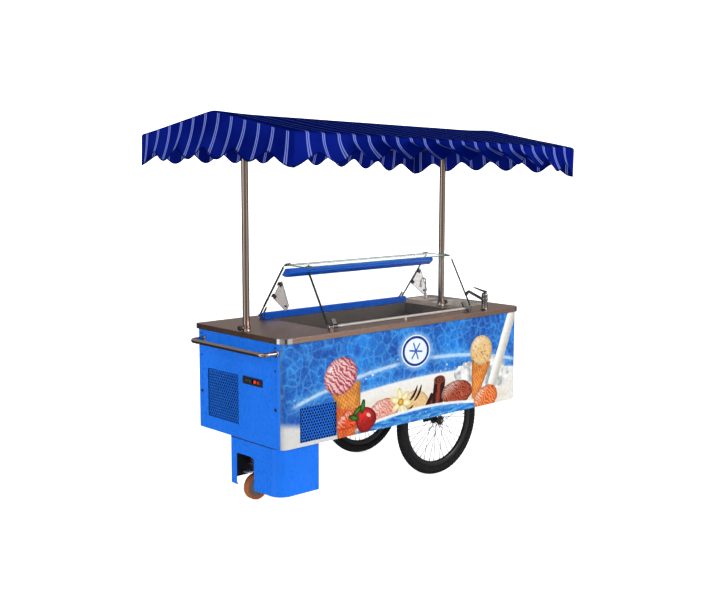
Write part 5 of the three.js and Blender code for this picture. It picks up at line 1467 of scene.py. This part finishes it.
def print_scoop(p, x, z, wide, high, pale, deep, turn=0, swirl=26.0, wobble=0.16, amount=0.9):
    """A ball of ice cream with scraped ripples, fine crumbs and a lit upper side."""
    u, v = p.local(x, z, turn)
    far = p.oval(u, v, wide, high, wobble, 34)
    around = p.warped(p.flat, 14, 0.05)
    broad = p.node("TexWave", {"Vector": around, "Scale": swirl, "Distortion": 7.0, "Detail": 4.0},
                   bands_direction="DIAGONAL")
    fine = p.node("TexWave", {"Vector": around, "Scale": swirl * 2.3, "Distortion": 9.0, "Detail": 3.0},
                  bands_direction="Y")
    ripple = p.ramp(Number(p, broad.outputs[1]) * 0.65 + Number(p, fine.outputs[1]) * 0.35, 0.32, 0.66)
    base = p.mix(ripple * amount, pale, deep)
    crumbs = p.ramp(p.noise(p.flat, 95, 3, 0.7), 0.46, 0.60)
    base = p.mix(crumbs * 0.30, base, tuple(c * 0.55 for c in deep))
    lit = p.mix(p.ramp(v / high - u / wide, 0.1, 1.2) * (1.0 - ripple * 0.6) * 0.55, base, (1.0, 0.96, 0.90))
    p.lay(p.inside(far, 0.03), p.mix(p.ramp(far, 0.72, 1.08) * 0.7, lit, tuple(c * 0.6 for c in deep)))


def print_cone(p, x, z, wide, length, turn, base=(0.74, 0.38, 0.10), line=(0.45, 0.17, 0.03)):
    """A waffle cone that narrows downwards from its mouth at (x, z)."""
    u, v = p.local(x, z, turn)
    depth = v * -1.0 / length
    half = (depth * -0.72 + 1.0) * wide
    across = p.math("ABSOLUTE", u) / half
    mask = p.inside(across, 0.05) * p.ramp(depth, -0.02, 0.02) * p.ramp(depth, 1.02, 0.96)
    grid = None
    for sign in (1.0, -1.0):
        lines = p.math("ABSOLUTE", p.math("FRACT", (u * sign + v * 0.75) / 0.024) - 0.5)
        lines = p.ramp(lines, 0.34, 0.44)
        grid = lines if grid is None else p.math("MAXIMUM", grid, lines)
    tone = p.mix(p.ramp(p.noise(p.flat, 20, 3), 0.3, 0.7), base, tuple(min(1, c * 1.35) for c in base))
    waffle = p.mix(grid * 0.65, tone, line)
    p.lay(mask, p.mix(p.ramp(across, 0.5, 1.05) * 0.7, waffle, tuple(c * 0.55 for c in base)))


def print_strawberry(p):
    x, z = -0.366, 0.444
    u, v = p.local(x, z, -20)
    pinch = v * 3.0 + 1.0
    far = p.oval(u / pinch * 1.10, v, 0.090, 0.076)
    seeds = p.ramp(p.cells(p.flat, 60), 0.20, 0.12, 0.0, 1.0)
    red = p.mix(p.ramp(v / 0.070 - u / 0.09, -0.4, 1.0), (0.50, 0.008, 0.006), (0.88, 0.045, 0.03))
    red = p.mix(seeds * 0.35, red, (0.90, 0.45, 0.12))
    p.lay(p.inside(far, 0.04), p.hollow(far, red, (0.30, 0.0, 0.0)))
    shine = p.inside(p.oval(*p.local(x + 0.024, z + 0.026, -30), 0.024, 0.013), 0.5)
    p.lay(shine * 0.75, (1.0, 0.85, 0.80))
    leaves = ((-0.062, 0.062, 35, 0.050), (-0.020, 0.082, 80, 0.044), (-0.088, 0.026, -20, 0.045))
    for dx, dz, turn, long in leaves:
        leaf = p.oval(*p.local(x + dx, z + dz, turn), long, 0.017)
        p.lay(p.inside(leaf, 0.08), p.mix(p.ramp(leaf, 0.2, 0.9), (0.14, 0.34, 0.04), (0.015, 0.11, 0.012)))


def print_flower(p):
    """A pale flower with a yellow heart, and two dark pods that lean to the right."""
    x, z = -0.085, 0.505
    pods = ((0.110, 0.030, 50, 0.062), (0.150, 0.030, 56, 0.058), (0.055, -0.062, 20, 0.060))
    for cx, cz, turn, long in pods:
        u, v = p.local(x + cx, z + cz, turn)
        bow = v - u * u * 3.2
        pod = p.oval(u, bow, long, 0.0105)
        tone = p.mix(p.ramp(bow, -0.004, 0.006), (0.035, 0.012, 0.006), (0.20, 0.09, 0.04))
        p.lay(p.inside(pod, 0.15), tone)
    petals = ((100, 0.062, 0.020), (40, 0.055, 0.021), (-12, 0.060, 0.022), (-75, 0.052, 0.020),
              (160, 0.062, 0.021), (215, 0.055, 0.020))
    for turn, long, wide in petals:
        c, s = math.cos(math.radians(turn)), math.sin(math.radians(turn))
        petal = p.oval(*p.local(x + c * 0.044, z + s * 0.042, turn), long * 0.8, wide)
        vein = p.mix(p.ramp(petal, 0.3, 1.0), (0.95, 0.90, 0.66), (0.78, 0.66, 0.30))
        p.lay(p.inside(petal, 0.07), vein)
    heart = p.oval(*p.local(x, z, 0), 0.026, 0.024, 0.2)
    p.lay(p.inside(heart, 0.15), p.mix(p.ramp(heart, 0.2, 0.9), (0.92, 0.62, 0.10), (0.55, 0.30, 0.04)))


def print_curls(p):
    """Rolled chocolate shavings."""
    for x, z, turn, long, wide in ((0.186, 0.462, 55, 0.045, 0.050), (0.235, 0.512, 82, 0.088, 0.050)):
        u, v = p.local(x, z, turn)
        box = p.math("MAXIMUM", p.math("ABSOLUTE", u) / long, p.math("ABSOLUTE", v) / wide)
        roll = p.math("SINE", v / wide * 5.0 + p.noise(p.flat, 26, 3) * 2.5)
        shade = p.mix(p.ramp(roll, -0.7, 0.9), (0.075, 0.010, 0.006), (0.42, 0.090, 0.045))
        ragged = box + (p.noise(p.flat, 30, 2) - 0.5) * 0.12
        rim = p.ramp(box, 0.7, 1.0) * 0.5
        p.lay(p.inside(ragged, 0.05), p.mix(rim, shade, (0.03, 0.006, 0.004)))
    end = p.oval(*p.local(0.242, 0.594, 0), 0.050, 0.026)
    p.lay(p.inside(end, 0.06), (0.36, 0.11, 0.065))
    spiral = p.math("SINE", end * 13.0)
    p.lay(p.inside(end, 0.06) * p.ramp(spiral, 0.0, 0.6), (0.10, 0.02, 0.012))


def print_milk(p):
    """A stream of milk from the upper right corner down to a splash behind the cone."""
    u, v = p.local(0.815, 0.710, 67)
    side = v / 0.042
    stream = p.inside(p.math("ABSOLUTE", side + (p.noise(p.flat, 9, 2) - 0.5) * 0.25), 0.08)
    stream = stream * p.ramp(u, -0.26, -0.22)
    tone = p.mix(p.ramp(side, -0.9, 0.7), (0.62, 0.60, 0.55), (0.94, 0.94, 0.92))
    cloud = p.warped(p.flat, 16, 0.05)
    splash_x, splash_z = 0.60, 0.585
    clouds = ((0.505, 0.600, 0.135, 0.070), (0.710, 0.585, 0.150, 0.105), (0.770, 0.550, 0.110, 0.085))
    for x, z, wide, high in clouds:
        ring = p.oval(*p.local(x, z, 0), wide, high, 0.80, 22)
        fold = p.mix(p.ramp(p.noise(cloud, 12, 3), 0.38, 0.60), (0.46, 0.48, 0.49), (0.92, 0.92, 0.90))
        p.lay(p.inside(ring, 0.06), fold)
    drops = p.ramp(p.cells(p.flat, 24), 0.24, 0.14, 0.0, 1.0)
    near = p.inside(p.oval(*p.local(splash_x, splash_z + 0.06, 0), 0.26, 0.10), 0.5)
    p.lay(drops * near, (0.93, 0.94, 0.95))
    p.lay(stream, tone)


def printed_film():
    p = Print()
    print_water(p)
    print_badge(p)
    print_arc(p)
    print_cream(p)
    print_milk(p)
    print_cone(p, -0.512, 0.655, 0.115, 0.30, 14)
    print_scoop(p, -0.552, 0.722, 0.125, 0.106, (0.92, 0.72, 0.68), (0.56, 0.040, 0.13), 10, 19.0)
    print_cone(p, -0.480, 0.520, 0.120, 0.22, -16, (0.80, 0.24, 0.05), (0.42, 0.03, 0.008))
    print_scoop(p, -0.475, 0.470, 0.115, 0.050, (1.0, 0.30, 0.07), (0.66, 0.04, 0.014), 15, 24.0, 0.40)
    print_scoop(p, 0.045, 0.490, 0.105, 0.066, (0.90, 0.72, 0.44), (0.80, 0.52, 0.24), -10, 22.0, 0.16, 0.5)
    print_scoop(p, -0.225, 0.465, 0.122, 0.082, (0.92, 0.66, 0.55), (0.70, 0.14, 0.13), 8, 22.0, 0.16, 0.6)
    print_flower(p)
    print_curls(p)
    print_scoop(p, 0.400, 0.492, 0.142, 0.078, (0.72, 0.22, 0.12), (0.26, 0.045, 0.022), 0, 30.0, 0.16)
    print_cone(p, 0.622, 0.668, 0.094, 0.25, -14, (0.80, 0.36, 0.10))
    print_scoop(p, 0.620, 0.728, 0.104, 0.096, (0.90, 0.70, 0.40), (0.80, 0.52, 0.24), -16, 14.0, 0.08, 0.35)
    crumbs = p.ramp(p.cells(p.flat, 42), 0.28, 0.16, 0.0, 1.0)
    tall = p.inside(p.oval(*p.local(0.620, 0.700, -14), 0.094, 0.120), 0.1)
    p.lay(crumbs * tall * 0.85, (0.30, 0.12, 0.04))
    print_crescent(p)
    print_strawberry(p)
    print_scoop(p, 0.668, 0.420, 0.116, 0.080, (1.0, 0.48, 0.16), (0.66, 0.10, 0.03), 12, 22.0, 0.2, 0.8)
    round_corner = Number(p, p.node("SeparateXYZ", {0: p.place()}).outputs[1]) + HALF_DEPTH * MM
    # Painted shade: the film is greyed where it turns round the front corner towards the dimmer end.
    p.lay(p.ramp(round_corner, 0.003, 0.020) * 0.25, (0.35, 0.36, 0.34))
    bare_blue = tuple(c ** (1 / PRINT_CONTRAST) / PRINT_WHITE for c in BODY_BLUE)
    p.lay(p.ramp(round_corner, 0.022, 0.024), bare_blue)
    toned = p.node("Gamma", {0: p.mix(1.0, p.ink, (PRINT_WHITE,) * 3, "MULTIPLY"), 1: PRINT_CONTRAST})
    p.set("Base Color", toned.outputs[0])
    p.set("Roughness", p.ramp(p.noise(p.flat, 40, 3), 0.3, 0.7, 0.22, 0.34))
    p.set("Specular IOR Level", 0.25)
    p.set("Coat Weight", 0.12)
    return p.bump(p.noise(p.place(), 260, 2), 0.03)


# ---- studio ---------------------------------------------------------------------------------
def make_floor():
    """A pale round floor whose rim rises as a soft sweep, so no horizon shows from any side."""
    rows = [(0.05, 0), (6, 0), (14, 0), (16, 0.3), (17.6, 1.3), (18.4, 3.0), (18.6, 12)]
    sides = 96
    points, faces = [], []
    for radius, height in rows:
        for i in range(sides):
            angle = 2 * math.pi * i / sides
            points.append((radius * math.cos(angle), radius * math.sin(angle), height))
    for level in range(len(rows) - 1):
        for i in range(sides):
            k = (i + 1) % sides
            low, high = level * sides, (level + 1) * sides
            faces.append((low + i, high + i, high + k, low + k))
    faces.append(tuple(range(sides)))
    floor = bpy.data.objects.new("studio_floor", mesh_of("studio_floor", Shape(points, faces)))
    p = Paint("studio_floor", (0.90, 0.90, 0.90), 0.0, 0.9)
    cloud = p.noise(p.place(), 0.6, 3)
    p.set("Base Color", p.mix(cloud, (0.90, 0.90, 0.905), (0.94, 0.94, 0.94)))
    p.set("Specular IOR Level", 0.05)
    p.set("Emission Color", (1.0, 1.0, 1.0, 1))
    p.set("Emission Strength", 0.78)
    floor.data.materials.append(p.material)
    floor.data.shade_smooth()
    floor.visible_glossy = False
    bpy.context.scene.collection.objects.link(floor)


def area_light(name, place, target, size, power, color=(1, 1, 1), glossy=True):
    data = bpy.data.lights.new(name, "AREA")
    data.shape = "RECTANGLE"
    data.size, data.size_y = size
    data.energy = power
    data.color = color
    light = bpy.data.objects.new(name, data)
    light.visible_camera = light.visible_glossy = glossy
    light.location = place
    light.rotation_euler = (Vector(target) - Vector(place)).to_track_quat("-Z", "Y").to_euler()
    bpy.context.scene.collection.objects.link(light)


def make_studio():
    bpy.context.scene.view_settings.view_transform = "Standard"
    bpy.context.scene.world = studio_world()
    area_light("key", (2.4, -6.4, 3.6), (0, 0, 0.9), (3.0, 2.2), 185)
    area_light("well", (0.15, -0.05, 1.62), (0.15, 0.12, 0.80), (1.2, 0.35), 5, (1.0, 0.96, 0.92), False)
    area_light("fill", (-6.0, 0.6, 2.2), (-0.5, 0, 0.9), (2.6, 2.2), 6)
    area_light("top", (0.5, 1.0, 5.5), (0, 0, 1.0), (4.0, 3.0), 30)


# What polished metal sees around it: bright cards and dark gaps, by compass angle in degrees.
CARDS = [(0, 0.06), (120, 0.05), (150, 0.10), (164, 1.5), (176, 1.3), (192, 0.45), (228, 0.35), (240, 0.05),
         (250, 0.08), (268, 0.75), (310, 0.60), (335, 0.12), (360, 0.06)]


def studio_world():
    """Even white light; mirror reflections see a ring of cards instead, and a soft light overhead."""
    world = bpy.data.worlds.new("studio")
    world.use_nodes = True
    tree = world.node_tree

    def add(kind, inputs=None, **settings):
        node = tree.nodes.new("ShaderNode" + kind)
        for name, value in settings.items():
            setattr(node, name, value)
        for index, value in (inputs or {}).items():
            if hasattr(value, "is_output"):
                tree.links.new(value, node.inputs[index])
            else:
                node.inputs[index].default_value = value
        return node

    even = add("Background", {0: (0.98, 0.99, 1.0, 1), 1: 0.25})
    split = add("SeparateXYZ", {0: add("TexCoord").outputs["Generated"]})
    angle = add("Math", {0: split.outputs[1], 1: split.outputs[0]}, operation="ARCTAN2")
    turn = add("Math", {0: angle.outputs[0], 1: 2 * math.pi}, operation="DIVIDE")
    share = add("Math", {0: turn.outputs[0]}, operation="FRACT")
    ring = add("ValToRGB", {0: share.outputs[0]})
    stops = ring.color_ramp.elements
    for degrees, level in CARDS[1:-1]:
        stops.new(degrees / 360)
    for stop, (degrees, level) in zip(stops, CARDS):
        stop.position = degrees / 360
        stop.color = (level, level, level, 1)
    above = add("MapRange", {0: split.outputs[2], 1: 0.02, 2: 0.30, 3: 0.0, 4: 0.42})
    sum_of = add("Math", {0: ring.outputs[0], 1: above.outputs[0]}, operation="ADD")
    cards = add("Background", {1: sum_of.outputs[0]})
    glossy = add("LightPath").outputs["Is Glossy Ray"]
    mixed = add("MixShader", {0: glossy, 1: even.outputs[0], 2: cards.outputs[0]})
    tree.links.new(mixed.outputs[0], tree.nodes["World Output"].inputs[0])
    return world


def make_camera():
    """The camera stands at eye height off the left front corner."""
    yaw, pitch, roll = math.radians(42.614), math.radians(-7.7335), math.radians(0.148)
    forward = Vector((math.sin(yaw) * math.cos(pitch), math.cos(yaw) * math.cos(pitch), math.sin(pitch)))
    level = forward.cross(Vector((0, 0, 1))).normalized()
    rise = level.cross(forward)
    right = level * math.cos(roll) + rise * math.sin(roll)
    up = rise * math.cos(roll) - level * math.sin(roll)
    data = bpy.data.cameras.new("camera")
    data.lens, data.sensor_width, data.sensor_fit = 55.59, 36, "HORIZONTAL"
    camera = bpy.data.objects.new("camera", data)
    turn = Matrix((right, up, -forward)).transposed().to_4x4()
    camera.matrix_world = Matrix.Translation(ORIGIN + Vector((-4.5100, -4.7924, 1.9225))) @ turn
    bpy.context.scene.collection.objects.link(camera)
    bpy.context.scene.camera = camera


# ---- assembly -------------------------------------------------------------------------------
def make_cabinet():
    blue = painted_metal("blue_paint", BODY_BLUE)
    rail_blue = painted_metal("rail_blue", (0.0, 0.070, 0.42), 0.35)
    tube_steel = brushed_steel("tube_steel", (0.55, 0.42, 0.35), 0.10, (60, 60, 1), 0.2)
    counter_steel = brushed_steel("counter_steel", (0.58, 0.38, 0.29), 0.28, (2, 150, 150))
    liner_steel = brushed_steel("liner_steel", (0.105, 0.088, 0.078), 0.50, (3, 120, 60), 0.35, 0.30)
    bright = brushed_steel("rim_steel", (0.62, 0.58, 0.53), 0.22, (40, 40, 40), 0.2, 0.45)
    plated = chrome()
    fitting = brushed_steel("fitting_steel", (0.34, 0.32, 0.30), 0.14, (60, 60, 60), 0.2)
    bright_zinc = zinc("bright_zinc", (0.62, 0.63, 0.64), 0.25)
    dull_zinc = zinc("dull_zinc")
    black = plastic("black_plastic", (0.012, 0.012, 0.013), 0.38)
    black_metal = painted_metal("black_metal", (0.010, 0.010, 0.011), 0.35, 0.2)
    glass = clear("pane_glass", (0.80, 0.90, 0.86), 0.012, 0.02, 0.03)
    top_glass = clear("top_pane_glass", (0.86, 0.93, 0.90), 0.10, 0.03, 0.02)
    plate = clear("stay_plate", (0.46, 0.40, 0.38), 0.42, 0.06)
    edge = glass_edge("glass_edge")
    glow = Paint("display_red", (0.9, 0.05, 0.02), 0.0, 0.4)
    glow.set("Emission Color", (1.0, 0.06, 0.02, 1))
    glow.set("Emission Strength", glow.ramp(glow.noise(glow.place(), 900, 2), 0.2, 0.8, 1.6, 2.6))
    make_canopy_cover()
    make_canopy_frame(tube_steel)
    make_posts(tube_steel, black)
    make_vents(blue, rubber("vent_shade_black", (0.006, 0.008, 0.012)))
    make_panels(blue, printed_film(), black_metal)
    make_skirt(blue, rubber("skirt_shadow_navy", (0.003, 0.016, 0.09)), black_metal)
    make_handle(tube_steel)
    key_grey = plastic("key_grey", (0.05, 0.05, 0.055), 0.5)
    switch_red = plastic("switch_red", (0.55, 0.012, 0.010), 0.2)
    make_control(black, key_grey, switch_red, glow.material)
    make_counter(counter_steel, plated)
    make_trays(liner_steel, bright)
    tyre = rubber("tyre_rubber", (0.006, 0.006, 0.007))
    spoke = brushed_steel("spoke_steel", (0.05, 0.05, 0.052), 0.3, (60, 60, 60), 0.2)
    make_wheels(tyre, black_metal, spoke, black_metal, plated)
    make_caster(bright_zinc, polyurethane("caster_tread"), plastic("caster_core", (0.10, 0.10, 0.105), 0.35))
    make_front_glass(glass, edge, fitting, bright, black_metal)
    make_rear_glass(glass, edge, fitting, black_metal, rail_blue, plate, edge)
    make_top_glass(top_glass, edge, fitting)
    make_mixer(fitting)
    make_tap(plated)
    refined("door_latch", plated, 0.6)
    grey = plastic("fan_grey", (0.06, 0.06, 0.065), 0.5)
    can_white = plastic("can_white", (0.78, 0.80, 0.80), 0.4, 300)
    make_inside(dull_zinc, black_metal, fins("condenser_fins"), foam("foam_board"), can_white, grey)


make_cabinet()
make_floor()
make_studio()
make_camera()
